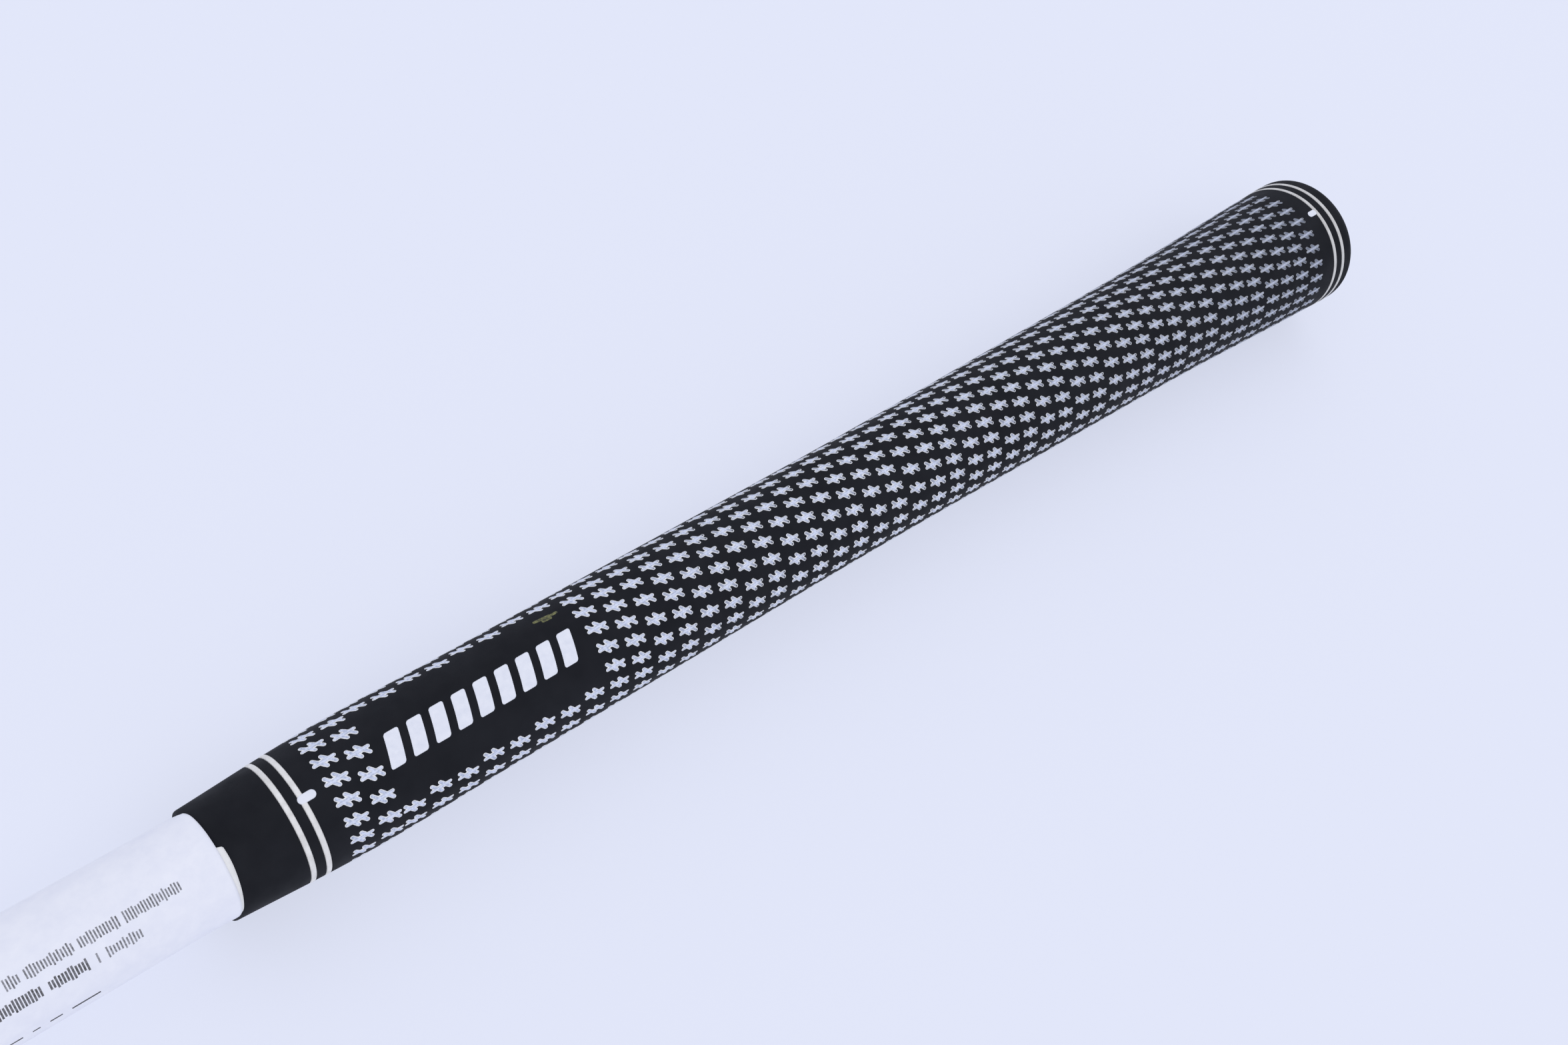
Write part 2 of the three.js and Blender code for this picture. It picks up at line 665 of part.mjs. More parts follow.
function headGroup() {
  const group = new THREE.Group();
  const { body, hosel, plate, crown } = headPieces();
  const bar = new THREE.BoxGeometry(...BAR_SIZE);
  bar.translate(...BAR_PLACE);
  group.add(
    piece("head_body", body, HEAD_PAINT),
    piece("hosel", hosel, HEAD_PAINT),
    piece("face_plate", plate, FACE_STEEL),
    piece("crown_panel", crown, CARBON),
    piece("tungsten_bar", solidOf(bar), TUNGSTEN),
  );
  for (const [end, port] of Object.entries(PORTS)) {
    group.add(
      piece(`${end}_weight`, inPort(weightDisc(WEIGHT_INSET), port), TUNGSTEN),
      piece(`${end}_weight_screw`, inPort(weightScrew(WEIGHT_INSET), port), STEEL),
    );
  }
  group.applyMatrix4(shaftToHead().invert());
  return group;
}

// The club on the floor, with the middle of its box at the origin.
function lyingClub() {
  const club = new THREE.Group();
  club.add(shaftGroup(), headGroup());
  club.rotation.set(rad(LYING_ROLL), 0, 0);
  const floor = new THREE.Group();
  floor.add(club);
  floor.rotation.set(0, rad(LYING_PITCH), 0);
  const box = new THREE.Box3().setFromObject(floor, true);
  const middle = box.getCenter(new THREE.Vector3());
  floor.position.set(-middle.x, -middle.y, -box.min.z);
  return floor;
}

export default lyingClub();
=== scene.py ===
"""The looks of the fairway wood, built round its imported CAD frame.

Shapes are worked out in millimetres in the club's own directions: along the shaft from the grip's mouth
to the butt, towards the toe, and towards the back of the head. They are turned into the row frame, in
metres, when a mesh is made. An angle round the grip starts at the toe side and grows away from the back.
"""

import json
import math

import bpy
import numpy as np
from mathutils import Matrix, Vector
from mathutils.bvhtree import BVHTree


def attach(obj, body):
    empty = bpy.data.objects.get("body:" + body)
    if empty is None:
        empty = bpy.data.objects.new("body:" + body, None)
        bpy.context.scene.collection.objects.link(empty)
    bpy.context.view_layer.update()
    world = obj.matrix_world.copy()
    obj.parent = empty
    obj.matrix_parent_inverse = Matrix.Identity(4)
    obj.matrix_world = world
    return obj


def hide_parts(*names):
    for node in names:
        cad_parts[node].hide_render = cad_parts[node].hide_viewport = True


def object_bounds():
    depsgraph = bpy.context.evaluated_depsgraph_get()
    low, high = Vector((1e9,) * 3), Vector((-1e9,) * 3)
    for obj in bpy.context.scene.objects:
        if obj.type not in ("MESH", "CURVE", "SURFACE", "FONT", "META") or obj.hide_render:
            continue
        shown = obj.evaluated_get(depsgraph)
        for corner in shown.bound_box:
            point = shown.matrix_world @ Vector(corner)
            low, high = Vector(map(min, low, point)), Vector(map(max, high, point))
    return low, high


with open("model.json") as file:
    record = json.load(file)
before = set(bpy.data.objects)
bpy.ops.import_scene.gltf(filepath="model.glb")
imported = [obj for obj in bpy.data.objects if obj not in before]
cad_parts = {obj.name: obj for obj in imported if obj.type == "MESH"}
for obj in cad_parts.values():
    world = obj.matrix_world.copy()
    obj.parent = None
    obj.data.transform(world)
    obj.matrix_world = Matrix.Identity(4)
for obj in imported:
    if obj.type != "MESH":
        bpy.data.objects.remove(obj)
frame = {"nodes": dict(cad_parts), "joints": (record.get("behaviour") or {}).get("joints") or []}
cad_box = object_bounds()

MM = 0.001

# Grip, in mm from its mouth
GRIP_STATIONS = (
    (0, 9.4), (22, 10.69), (48, 10.69), (83, 10.75), (133, 10.88),
    (184, 11.82), (224, 12.71), (250, 13.8), (269, 14.5),
)
GRIP_SIDES = 192
PROFILE_STEP = 1.5
MOUTH_LIP = 0.5
MOUTH_BORE = 8.1
MOUTH_DEPTH = 6
CAP_SEAM = 267
CAP_EDGE = 2.6
VENT_RADIUS = 1.6
VENT_DEPTH = 3
RING_PLACES = (12.6, 15.15, 264.9, 267.6)
RING_WIDTH = 0.95
RING_DEPTH = 0.3
RING_EDGE = 0.1  # the groove's wall slopes over this
RING_MARGIN = 0.7  # the skin's mesh is fine this far from a ring
RING_CROWN = 0.2  # how far the paint bulges
RING_SINK = 0.12  # from the grip's surface to the paint's edge
TWIST = 7.0  # degrees that the thin end is turned, dying out by TWIST_END
TWIST_END = 132.0

# Moulded marks: three crossing strokes, repeated in rings
MARK_STROKES = (
    ((-1.49, -0.97), (0.03, 0.97)),
    ((-0.03, -0.97), (1.49, 0.97)),
    ((-1.62, 0.06), (1.6, -0.07)),
)
MARK_HALF_WIDTH = 0.37
MARK_CORE = ((-0.42, 0.03), (0.42, -0.03), 0.56)  # the strokes run together in the middle
MARK_BOX = ((-2.1, 2.2), (-1.5, 1.6))
MARK_LENGTHS = ((0, 1.06), (60, 1.0), (180, 1.02), (270, 1.12))  # how marks grow along the grip
MARK_WIDTHS = ((0, 0.97), (70, 0.92), (135, 0.89), (200, 0.86), (270, 0.79))
MARK_SHIFTS = ((20.7, 0.25), (25.7, 0.25), (30.6, -0.5), (65.3, -0.5), (110, 0))
MARK_OPEN = ((66, 0.0), (95, 1.0))  # past here the strokes' ends show a dark hollow
MARK_DULL = ((130, 0.0), (205, 0.35), (262, 0.8))  # the marks are greyer towards the thick end
MARK_GRID = 0.15
MARK_PIECES = 4  # the marks are shared out over this many pieces; the export decimates a piece of over 200,000 triangles
MARK_PROUD = 0.05
MARK_ROOT = 0.02
FIRST_MARKS = 20.7
MARK_PITCH = 4.95
MARK_RINGS = 49
# First ring of a stretch, and the marks in its even and in its odd rings
MARK_COUNTS = ((0, 19, 17), (11, 18, 20), (26, 22, 20), (37, 22, 24), (43, 26, 24), (47, 26, 28))
MARK_SEED = 7
BARE_RINGS = range(2, 10)  # these leave room for the motif
BARE_ANGLE = 47

# Paint on the marks, and the pits in the ends of the strokes
HOLLOW_COLOUR = (0.36, 0.39, 0.48, 1)
STREAK_COLOUR = (0.80, 0.84, 0.96, 1)
DULL_COLOUR = (0.10, 0.12, 0.17, 1)
PIT_COLOUR = (0.085, 0.09, 0.10, 1)
PIT_CHANCES = (0.2, 0.1, 0.45)  # how often a stroke has none
PIT_GROWTH = 0.9
PIT_RADIUS = 0.2
PIT_SHARPNESS = 14.0

# Painted patches
PATCH_EDGE = 0.12  # a patch rises to its full height over this
MOTIF = {
    "start": 28.9, "end": 65.6, "blocks": 9, "share": 0.66, "slant": 1.7, "angle": 2.0, "height": 5.7,
}
MOTIF_CORNER = 0.5
MOTIF_RADIUS_AT = 45  # where the motif's angle is turned into mm
TICK_LENGTH = 1.55
TICK_HALF_WIDTH = 0.74
DOT_BEFORE_RING = 1.6
DOT_ENDS = (-0.3, 0.8)
DOT_HALF_WIDTH = 0.7
SCUFF = (  # smears of olive paint: start, end and half the width
    ((62, -6.8), (64.6, -6.5), 0.36),
    ((63.3, -6.3), (66, -6.4), 0.3),
    ((63.2, -6), (64.6, -5.9), 0.28),
)

# Paper label, rolled loosely round the shaft
LABEL_LENGTH = 190
LABEL_START = 5
LABEL_TURN = 460
LABEL_RADIUS = 8.35
LABEL_THICKNESS = 0.22
LABEL_GROWTH = 0.34  # added to the radius by each turn
LABEL_FLARE = 9  # the end opens over this length, to pass over the lip of the grip
LABEL_OPEN = (-70, 106)  # between these angles
LABEL_OPEN_EASE = 38
LIP_TO_PAPER = (0.14, 0.36)  # from the grip's surface to the middle of the inner and of the outer turn
LABEL_ENDS = (  # angle over the paper's whole turn, and how far past the mouth it ends there
    (5, 2.25), (20, 2.3), (40, 2.05), (60, 1.65), (80, 1.05), (100, 0.2), (150, -0.6), (270, -0.6),
    (290, 0.0), (309, 0.5), (327, 1.05), (341, 1.25), (364, 1.35), (390, 1.3),
    (410, 1.25), (430, 1.0), (445, 0.5), (465, -0.3),
)
LABEL_CORNER = (3.5, 0.9)  # rounded over these degrees and mm
LABEL_COLUMNS = 300
LABEL_FINE_FROM = 0.94  # share of the length, counted from the far end
LABEL_ROWS = (29, 26)  # before and after that
CREAM_TURN = 120  # the first part of the paper is cream

# Print on the label: angle, height, place of its end, lengths of the words, gap and how bold it is
PRINT_ROWS = (
    (18, 1.8, -5.2, (8.7, 6.1, 7.1, 2.3, 6.2), 0.6, 0.5),
    (39, 1.8, -12.5, (5.4, 0.25), 1.1, 0.45),
    (39, 1.9, -20.5, (5.8, 9.2, 7.5), 0.9, 0.8),
    (79, 0.4, -20.6, (4.2, 1.8, 1.1, 2.2, 1.6), 1.4, 1),
)
PRINT_PITCH = 0.47
PRINT_HEIGHTS = (0.65, 1.1)  # shares of the row's height
PRINT_LIFT = 0.015
PRINT_SEED = 11
BAR_GRID = 5

# Head, in mm from the point where the shaft's axis meets the ground: to the toe, to the target and up
CLUB_LENGTH = 1092
HEAD_CENTRE = (30, -26)
HALF_WIDTH = 51
FACE_DEPTH = 42
BACK_DEPTH = 40
SKIRT_HEIGHT = 15.5
CROWN_RISE = 20.5
CROWN_TILT = 0.1
FACE_BLEND_START = 0.1
OUTLINE_POWER = (2.15, 1.45)  # of the superellipse seen from above: at the back, and more at the face
PROFILE_POWER = (2.3, 2.5)  # the same, seen from the side
RIM_CROWDING = 1.6  # draws the rows of the head's grid to the skirt
LOFT = 15.0
BODY_WALL = 1.15
PLATE_WALL = 2.1
PANEL_WALL = 0.8
SEAM = 0.3
PANEL = {"x": 37.5, "y": -28.5, "half_x": 38, "half_y": 32, "power": 2.5, "grid": 0.8}
PLATE = {"x": 33, "z": 17.5, "half_x": 35, "half_z": 12.5, "power": 2.6, "grid": 0.9}
PLATE_SIDE = 4  # the plate is where the head's outside lies further forward than this
SCORE_LINES = tuple(-7.5 + 2.5 * line for line in range(7))  # up the face from its middle
SCORE_HALF_LENGTH = 19
SCORE_HALF_WIDTH = 0.4
SCORE_DEPTH = 0.3
SCORE_RUN_OUT = 0.8
SCORE_WALL = 0.4  # share of the half width
SCORE_ROWS = (0.45, 0.8, 1.0, 1.25)  # rows of the plate's grid, in half widths from a line's middle
PORTS = {"front": ((34, -3, 0.3), 0.0), "rear": ((32, -54, 3.6), -17.0)}
PORT_RADIUS = 6.5
PORT_STEP = 0.35  # between the sole's edge and the pocket's wall
PORT_FLOOR = 5.4
PORT_TOP = 11.9
PORT_THREAD = 2.3
PORT_WALL = 1
PORT_LIP = (1.2, 1.35)  # heights that the pocket's chamfered edge spans
PORT_WALL_FOOT = 2.5
PORT_CHAMFER = 0.3
WRENCH_PORT = 5.3
SEAT = (14.3, 17)
SEAT_HOLE = 2.9
HOSEL_BORE = 6.1
HOSEL_HOLE = 7.9  # in the crown, round the hosel
HOSEL_TOP = 56
HOSEL_EDGE = 0.2
HOSEL_RIM = (6.96, 6.8)
HOSEL_PROFILE = ((15, 5), (19, 7.4), (26, 8.4), (36, 7.5), (46, 7.12), (55.6, 7))
HEAD_SIDES = 96
WEAVE = 2.0  # width of a carbon tow
EASE = 3.0  # how far inside the CAD frame's box the head's rounder surface starts to give way
EASE_GAP = 0.25
GRID_SPAN = 100.0  # the head's grid runs from 0 to this both ways
HEAD_GRID = (321, 161)
RAY_GRID = (481, 241)
FAR = 100.0

# Camera, from the mouth of the grip: along the shaft, towards the toe and towards the back
CAMERA_PLACE = (-43.05, 265.94, -66.86)
CAMERA_AIM = (0.50327, -0.83658, 0.21646)
CAMERA_UP = (0.42721, 0.45861, 0.77921)
CAMERA_LENS = 39.8
CAMERA_SENSOR = 36

# Stage and lights, in metres in the row frame
FLOOR_HALF_SIZE = 30.0
FLOOR_COLOUR = (0.27, 0.275, 0.30, 1)
FLOOR_GLOW = (0.80, 0.84, 1.0, 1)
FLOOR_GLOW_STRENGTH = 0.65
SKY_COLOUR = (0.85, 0.88, 1.0, 1)
SKY_STRENGTH = 0.8
LIGHTS = (  # name, place, aim, size, power and colour
    ("key", (-0.6, -1.1, 1.9), (0, 0, 0), 1.4, 9, (1, 0.99, 0.97)),
    ("fill", (1.4, 0.9, 1.6), (0.1, 0, 0), 1.6, 4, (0.95, 0.97, 1)),
)


# ---- the club's directions, from the frame ----


def joint(name):
    return next(j for j in frame["joints"] if j["name"] == name)


def unit(v):
    return v / np.linalg.norm(v)


ALONG = unit(np.array(joint("shaft_release")["axis"]))
HEAD_UP = unit(-np.array(joint("front_weight_lift")["axis"]))
TOE = unit(HEAD_UP - (HEAD_UP @ ALONG) * ALONG)
BACK = np.cross(TOE, ALONG)
ON_AXIS = np.array(joint("hosel_screw_turn")["pos_m"]) / MM


def reach(cad_node):
    """Lowest and highest distance along the shaft of a CAD node, in mm from the hosel screw's pivot."""
    mesh = frame["nodes"][cad_node].data
    points = np.empty(len(mesh.vertices) * 3, np.float32)
    mesh.vertices.foreach_get("co", points)
    along = (points.reshape(-1, 3).astype(float) / MM - ON_AXIS) @ ALONG
    return along.min(), along.max()


MOUTH = ON_AXIS + ALONG * reach("grip_sleeve")[0]
GRIP_LENGTH = reach("grip_end_cap")[1] - reach("grip_sleeve")[0]


def on_shaft(along, angle, radius):
    """Points in the row frame, in mm, from distances past the mouth, angles in radians and radii."""
    along, angle, radius = np.broadcast_arrays(along, angle, radius)
    around = np.cos(angle)[..., None] * TOE - np.sin(angle)[..., None] * BACK
    return MOUTH + along[..., None] * ALONG + radius[..., None] * around


def spline(stations, at):
    """A smooth curve through the stations, read at one or more places."""
    x, y = np.array(stations, float).T
    slope = np.gradient(y, x)
    at = np.clip(at, x[0], x[-1])
    i = np.clip(np.searchsorted(x, at) - 1, 0, len(x) - 2)
    width = x[i + 1] - x[i]
    t = (at - x[i]) / width
    rise = (2 * t**3 - 3 * t**2 + 1) * y[i] + (3 * t**2 - 2 * t**3) * y[i + 1]
    return rise + width * ((t**3 - 2 * t**2 + t) * slope[i] + (t**3 - t**2) * slope[i + 1])


def grip_radius(along):
    return spline(GRIP_STATIONS, along)


def twist(along):
    return np.radians(TWIST) * np.clip(1 - np.asarray(along) / TWIST_END, 0, 1)


# ---- meshes ----


def piece(name, points, faces, material, body, replaces=()):
    """One mesh piece from points in mm in the row frame, riding on a CAD body."""
    mesh = bpy.data.meshes.new(name)
    mesh.from_pydata((np.asarray(points).reshape(-1, 3) * MM).tolist(), [], np.asarray(faces).tolist())
    mesh.validate()
    mesh.shade_smooth()
    made = bpy.data.objects.new(name, mesh)
    bpy.context.scene.collection.objects.link(made)
    mesh.materials.append(material)
    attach(made, body)
    if replaces:
        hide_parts(*replaces)
    return made


def grid_faces(rows, columns, closed=True):
    """Four-sided faces of a grid of rows by columns, the columns joined end to end if closed."""
    row = np.arange(rows - 1)[:, None] * columns
    column = np.arange(columns if closed else columns - 1)[None, :]
    after = (column + 1) % columns
    corners = row + column, row + after, row + columns + after, row + columns + column
    return np.stack(corners, -1).reshape(-1, 4)


def with_uv(made, name, places):
    """Give a mesh a UV map from a pair of mm for each of its points."""
    corner = np.empty(len(made.data.loops), np.int32)
    made.data.loops.foreach_get("vertex_index", corner)
    uv = made.data.uv_layers.new(name=name)
    uv.data.foreach_set("uv", places[corner].astype(np.float32).ravel())


def shaft_piece(name, points, faces, material, slot="grip_rubber", replaces=()):
    return piece(name, points, faces, material, "shaft_assembly", replaces)


def lathe(name, profile, material, *slot_and_replaced):
    """A surface of revolution round the shaft's axis from (along, radius) pairs."""
    along, radius = np.array(profile, float).T
    angle = np.linspace(0, 2 * math.pi, GRIP_SIDES, endpoint=False)
    points = on_shaft(along[:, None], angle[None, :], radius[:, None])
    shaft_piece(name, points, grid_faces(len(profile), GRIP_SIDES), material, *slot_and_replaced)


def arc(centre, radius, start, end, steps=8):
    """(along, radius) pairs on a round edge, angles in degrees from the shaft's direction."""
    for angle in np.radians(np.linspace(start, end, steps)):
        yield centre[0] + radius * math.cos(angle), centre[1] + radius * math.sin(angle)


# ---- materials ----


def new_material(name):
    """A material, its node tree and its shader."""
    made = bpy.data.materials.new(name)
    made.use_nodes = True
    return made, made.node_tree, made.node_tree.nodes["Principled BSDF"]


def feed(made, inputs):
    """Set a node's inputs, each to a value or to another node's socket."""
    for key, value in inputs.items():
        if isinstance(value, bpy.types.NodeSocket):
            made.id_data.links.new(value, made.inputs[key])
        else:
            made.inputs[key].default_value = value


def node(tree, kind, inputs=None, **settings):
    """A shader node with its settings and inputs."""
    made = tree.nodes.new("ShaderNode" + kind)
    for key, value in settings.items():
        setattr(made, key, value)
    feed(made, inputs or {})
    return made


def attribute(tree, name):
    return node(tree, "Attribute", attribute_name=name, attribute_type="GEOMETRY").outputs["Fac"]


def noise(tree, size, detail=3.0, roughness=0.5, stretch=None):
    """Noise with features of a size in mm, which a stretch below 1 draws out along its axis."""
    at = node(tree, "TexCoord").outputs["Object"]
    if stretch:
        at = node(tree, "Mapping", {"Vector": at, "Scale": stretch}).outputs[0]
    inputs = {"Vector": at, "Scale": 1 / (size * MM), "Detail": detail, "Roughness": roughness}
    return node(tree, "TexNoise", inputs).outputs["Fac"]


def ramp(tree, value, *stops):
    """A colour ramp from (position, colour) pairs, where a colour is a grey or three numbers."""
    made = node(tree, "ValToRGB", {"Fac": value})
    points = made.color_ramp.elements
    while len(points) < len(stops):
        points.new(0.5)
    for point, (position, colour) in zip(points, stops):
        point.position = position
        point.color = (*((colour,) * 3 if isinstance(colour, (int, float)) else colour), 1)
    return made.outputs["Color"]


def maths(tree, operation, *values, clamp=False):
    made = node(tree, "Math", dict(enumerate(values)), operation=operation)
    made.use_clamp = clamp
    return made.outputs[0]


def mix(tree, share, first, second):
    inputs = {"Factor": share, 6: first, 7: second}
    return node(tree, "Mix", inputs, data_type="RGBA").outputs[2]


def rise(tree, shader, height, depth, after=None):
    """Bump the shader by a height, in mm, and return the bump's normal."""
    inputs = {"Height": height, "Distance": depth * MM, "Strength": 1.0}
    if after is not None:
        inputs["Normal"] = after
    made = node(tree, "Bump", inputs).outputs["Normal"]
    feed(shader, {"Normal": made})
    return made


def surface(name, grain, stops, roughness, bumps=(), more=None):
    """A material whose colour follows a grain, with bumps on it. The grain and each bump are given as
    noise's own arguments, and the roughness is a number, or such arguments and two stops."""
    made, tree, shader = new_material(name)
    if isinstance(roughness, tuple):
        roughness = ramp(tree, noise(tree, *roughness[0]), *roughness[1:])
    colour = ramp(tree, noise(tree, *grain), *stops)
    feed(shader, {"Base Color": colour, "Roughness": roughness, **(more or {})})
    normal = None
    for bump, depth in bumps:
        normal = rise(tree, shader, noise(tree, *bump), depth, normal)
    return made


def rubber():
    """Moulded grip rubber: near black, matt, with a fine pebble and a little dust."""
    made, tree, shader = new_material("grip_rubber")
    shade = ramp(tree, noise(tree, 9), (0.3, (0.0082, 0.009, 0.012)), (0.75, (0.0135, 0.0145, 0.0185)))
    dust = ramp(tree, noise(tree, 0.55, 6.0, 0.7), (0.69, 0.0), (0.78, 0.35))
    colour = mix(tree, dust, shade, (0.11, 0.115, 0.13, 1))
    roughness = ramp(tree, noise(tree, 3), (0.3, 0.66), (0.7, 0.8))
    feed(shader, {"Base Color": colour, "Roughness": roughness, "Specular IOR Level": 0.14})
    rise(tree, shader, noise(tree, 0.16, 4.0, 0.6), 0.02)
    return made


def thick_paint(name, dark, light, clouds, grain, roughness):
    """Thick paint, cloudy and a little uneven, with clouds and grain of a size in mm."""
    stops = (0.25, dark), (0.7, light)
    return surface(name, (clouds, 4.0), stops, roughness, [((grain,), 0.03)])


def ring_paint(name, share):
    """Cream paint wiped into a groove, its colours scaled down by the share."""
    dark, light = (tuple(np.array(shade) * share) for shade in ((0.72, 0.70, 0.66), (0.90, 0.885, 0.85)))
    return thick_paint(name, dark, light, 1.4, 0.3, 0.5)


def vector(tree, operation, first, second):
    made = node(tree, "VectorMath", {0: first, 1: second}, operation=operation)
    return made.outputs["Value" if operation in ("DOT_PRODUCT", "DISTANCE") else "Vector"]


def stroke_distance(tree, at, start, end):
    """Distance in mm from a point of the mark to the middle of a stroke."""
    start, end = Vector((*start, 0)), Vector((*end, 0))
    run = end - start
    away = vector(tree, "SUBTRACT", at, start)
    share = vector(tree, "DOT_PRODUCT", away, run / run.length_squared)
    share = maths(tree, "ADD", share, 0.0, clamp=True)
    step = node(tree, "VectorMath", {0: run, "Scale": share}, operation="SCALE").outputs["Vector"]
    return vector(tree, "DISTANCE", away, step)


def pitted(tree, colour, at, hollow):
    """A colour with a dark pit in the ends of some strokes, by a random number of the mark's."""
    seed = attribute(tree, "seed")
    for index, ((_, end), chance) in enumerate(zip(MARK_STROKES, PIT_CHANCES)):
        away = vector(tree, "DISTANCE", at, Vector((*end, 0)))
        spread = 3.7 + 5.3 * index  # gives each stroke a draw of its own
        draw = maths(tree, "FRACT", maths(tree, "MULTIPLY", seed, spread))
        size = maths(tree, "MULTIPLY", maths(tree, "SUBTRACT", draw, chance, clamp=True), PIT_GROWTH)
        size = maths(tree, "MULTIPLY", maths(tree, "MINIMUM", size, PIT_RADIUS), hollow)
        depth = maths(tree, "SUBTRACT", size, away)
        pit = maths(tree, "MULTIPLY", depth, PIT_SHARPNESS, clamp=True)
        colour = mix(tree, pit, colour, PIT_COLOUR)
    return colour


def mark_paint_and_shading():
    """White paint with a painted highlight on a mark's rims and painted shade, darker and cooler, in its
    sunk middle; dark in its open ends.
    """
    made, tree, shader = new_material("mark_paint_and_shading")
    at = node(tree, "UVMap", uv_map="mark").outputs["UV"]
    dull, hollow = attribute(tree, "dull"), attribute(tree, "hollow")
    distances = [stroke_distance(tree, at, *stroke) for stroke in MARK_STROKES]
    nearest = maths(tree, "MINIMUM", maths(tree, "MINIMUM", distances[0], distances[1]), distances[2])
    core = maths(tree, "DIVIDE", stroke_distance(tree, at, *MARK_CORE[:2]), MARK_CORE[2])
    inside = maths(tree, "MINIMUM", maths(tree, "DIVIDE", nearest, MARK_HALF_WIDTH), core)
    sunk = ramp(tree, inside, (0.42, 1.0), (0.68, 0.0))
    from_middle = node(tree, "VectorMath", {0: at}, operation="LENGTH").outputs["Value"]
    ends = ramp(tree, maths(tree, "DIVIDE", from_middle, 2.0), (0.3, 0.0), (0.62, 1.0))
    from_long_stroke = maths(tree, "DIVIDE", distances[2], MARK_HALF_WIDTH)
    streak = ramp(tree, from_long_stroke, (0.2, 0.6), (0.5, 0.0))
    off_middle = ramp(tree, from_long_stroke, (0.5, 0.45), (1.3, 1.0))
    wear, clouds = noise(tree, 0.5, 4.0, 0.6), noise(tree, 0.42, 3.0, 0.6)
    # painted highlight on the rims, and painted shade in the sunk middle, over the paint's own cloudy
    # white
    rim = ramp(tree, wear, (0.3, (0.72, 0.73, 0.76)), (0.6, (0.93, 0.93, 0.92)))
    cloudy = ramp(tree, clouds, (0.35, (0.40, 0.45, 0.58)), (0.62, (0.74, 0.79, 0.95)))
    middle = mix(tree, maths(tree, "MULTIPLY", ends, hollow), cloudy, HOLLOW_COLOUR)
    middle = mix(tree, streak, middle, STREAK_COLOUR)
    colour = mix(tree, sunk, rim, middle)
    colour = mix(tree, maths(tree, "MULTIPLY", dull, off_middle), colour, DULL_COLOUR)
    feed(shader, {"Base Color": pitted(tree, colour, at, hollow), "Roughness": 0.5})
    first = rise(tree, shader, maths(tree, "MULTIPLY", sunk, -1.0), 0.06)
    rise(tree, shader, wear, 0.03, first)
    return made


RUBBER = rubber()
# the two rings at the thick end get the paint's colours scaled by 0.8, so they are darker
RING_PAINTS = [ring_paint("ring_paint", 1.0), ring_paint("darker_ring_paint", 0.8)]
WHITE_PAINT = thick_paint("motif_paint", (0.79, 0.81, 0.88), (0.88, 0.89, 0.94), 1.1, 0.35, 0.45)
OLIVE = (0.36, (0.022, 0.024, 0.018)), (0.6, (0.22, 0.22, 0.08))
SCUFF_PAINT = surface("scuff_paint", (0.5, 5.0, 0.7), OLIVE, 0.75, [((0.5, 5.0, 0.7), 0.04)])
MARK_PAINT_AND_SHADING = mark_paint_and_shading()


# ---- grip ----


def groove_depth(along):
    """How far the grip's surface sinks at a painted ring."""
    along = np.asarray(along, float)
    depth = np.zeros_like(along)
    for middle in RING_PLACES:
        inside = RING_WIDTH / 2 + RING_EDGE / 2 - np.abs(along - middle)
        depth = np.maximum(depth, RING_DEPTH * np.clip(inside / RING_EDGE, 0, 1))
    return depth


def grip_profile(start, end):
    """(along, radius) pairs of the grip's outside, close together where a ring is sunk in."""
    coarse = np.arange(start, end, PROFILE_STEP)
    fine = [np.linspace(ring - RING_MARGIN, ring + RING_MARGIN, 29) for ring in RING_PLACES]
    places = np.unique(np.concatenate([coarse, [end], *fine]).round(4))
    places = places[(places >= start) & (places <= end)]
    return list(zip(places, grip_radius(places) - groove_depth(places)))


def grip():
    """The skins of the grip's sleeve and of its cap."""
    thin = grip_radius(0)
    lip = list(arc((MOUTH_LIP, thin - MOUTH_LIP), MOUTH_LIP, 180, 90))
    mouth = [(MOUTH_DEPTH, MOUTH_BORE), (0.3, MOUTH_BORE)]
    mouth += [(0.05, MOUTH_BORE + 0.1), (0, MOUTH_BORE + 0.3)]
    sleeve = mouth + lip + grip_profile(MOUTH_LIP + 0.05, CAP_SEAM)
    lathe("grip_skin", sleeve, RUBBER, "grip_rubber", ["grip_sleeve"])
    edge_start = GRIP_LENGTH - CAP_EDGE
    edge_radius = grip_radius(edge_start)
    edge = list(arc((edge_start, edge_radius - CAP_EDGE), CAP_EDGE, 90, 0, 14))
    vent = [(GRIP_LENGTH, VENT_RADIUS + 0.3), (GRIP_LENGTH - 0.1, VENT_RADIUS + 0.05)]
    vent += [(GRIP_LENGTH - 0.4, VENT_RADIUS), (GRIP_LENGTH - VENT_DEPTH, VENT_RADIUS)]
    vent += [(GRIP_LENGTH - VENT_DEPTH, 0.01)]
    dome = [(GRIP_LENGTH, radius) for radius in (9, 6, 4)]
    cap = [(CAP_SEAM, edge_radius - 2)] + grip_profile(CAP_SEAM, edge_start) + edge + dome + vent
    lathe("cap_skin", cap, RUBBER, "cap_rubber", ["grip_end_cap"])


def rings():
    """The paint in the grooves."""
    half = RING_WIDTH / 2
    for index, middle in enumerate(RING_PLACES):
        places = np.linspace(middle - half, middle + half, 9)
        crown = RING_CROWN * np.sqrt(np.clip(1 - ((places - middle) / half) ** 2, 0, 1))
        profile = list(zip(places, grip_radius(places) - RING_SINK + crown))
        root = grip_radius(middle) - RING_DEPTH - 0.1
        profile = [(places[0], root)] + profile + [(places[-1], root)]
        lathe(f"ring_{index}", profile, RING_PAINTS[index // 2])


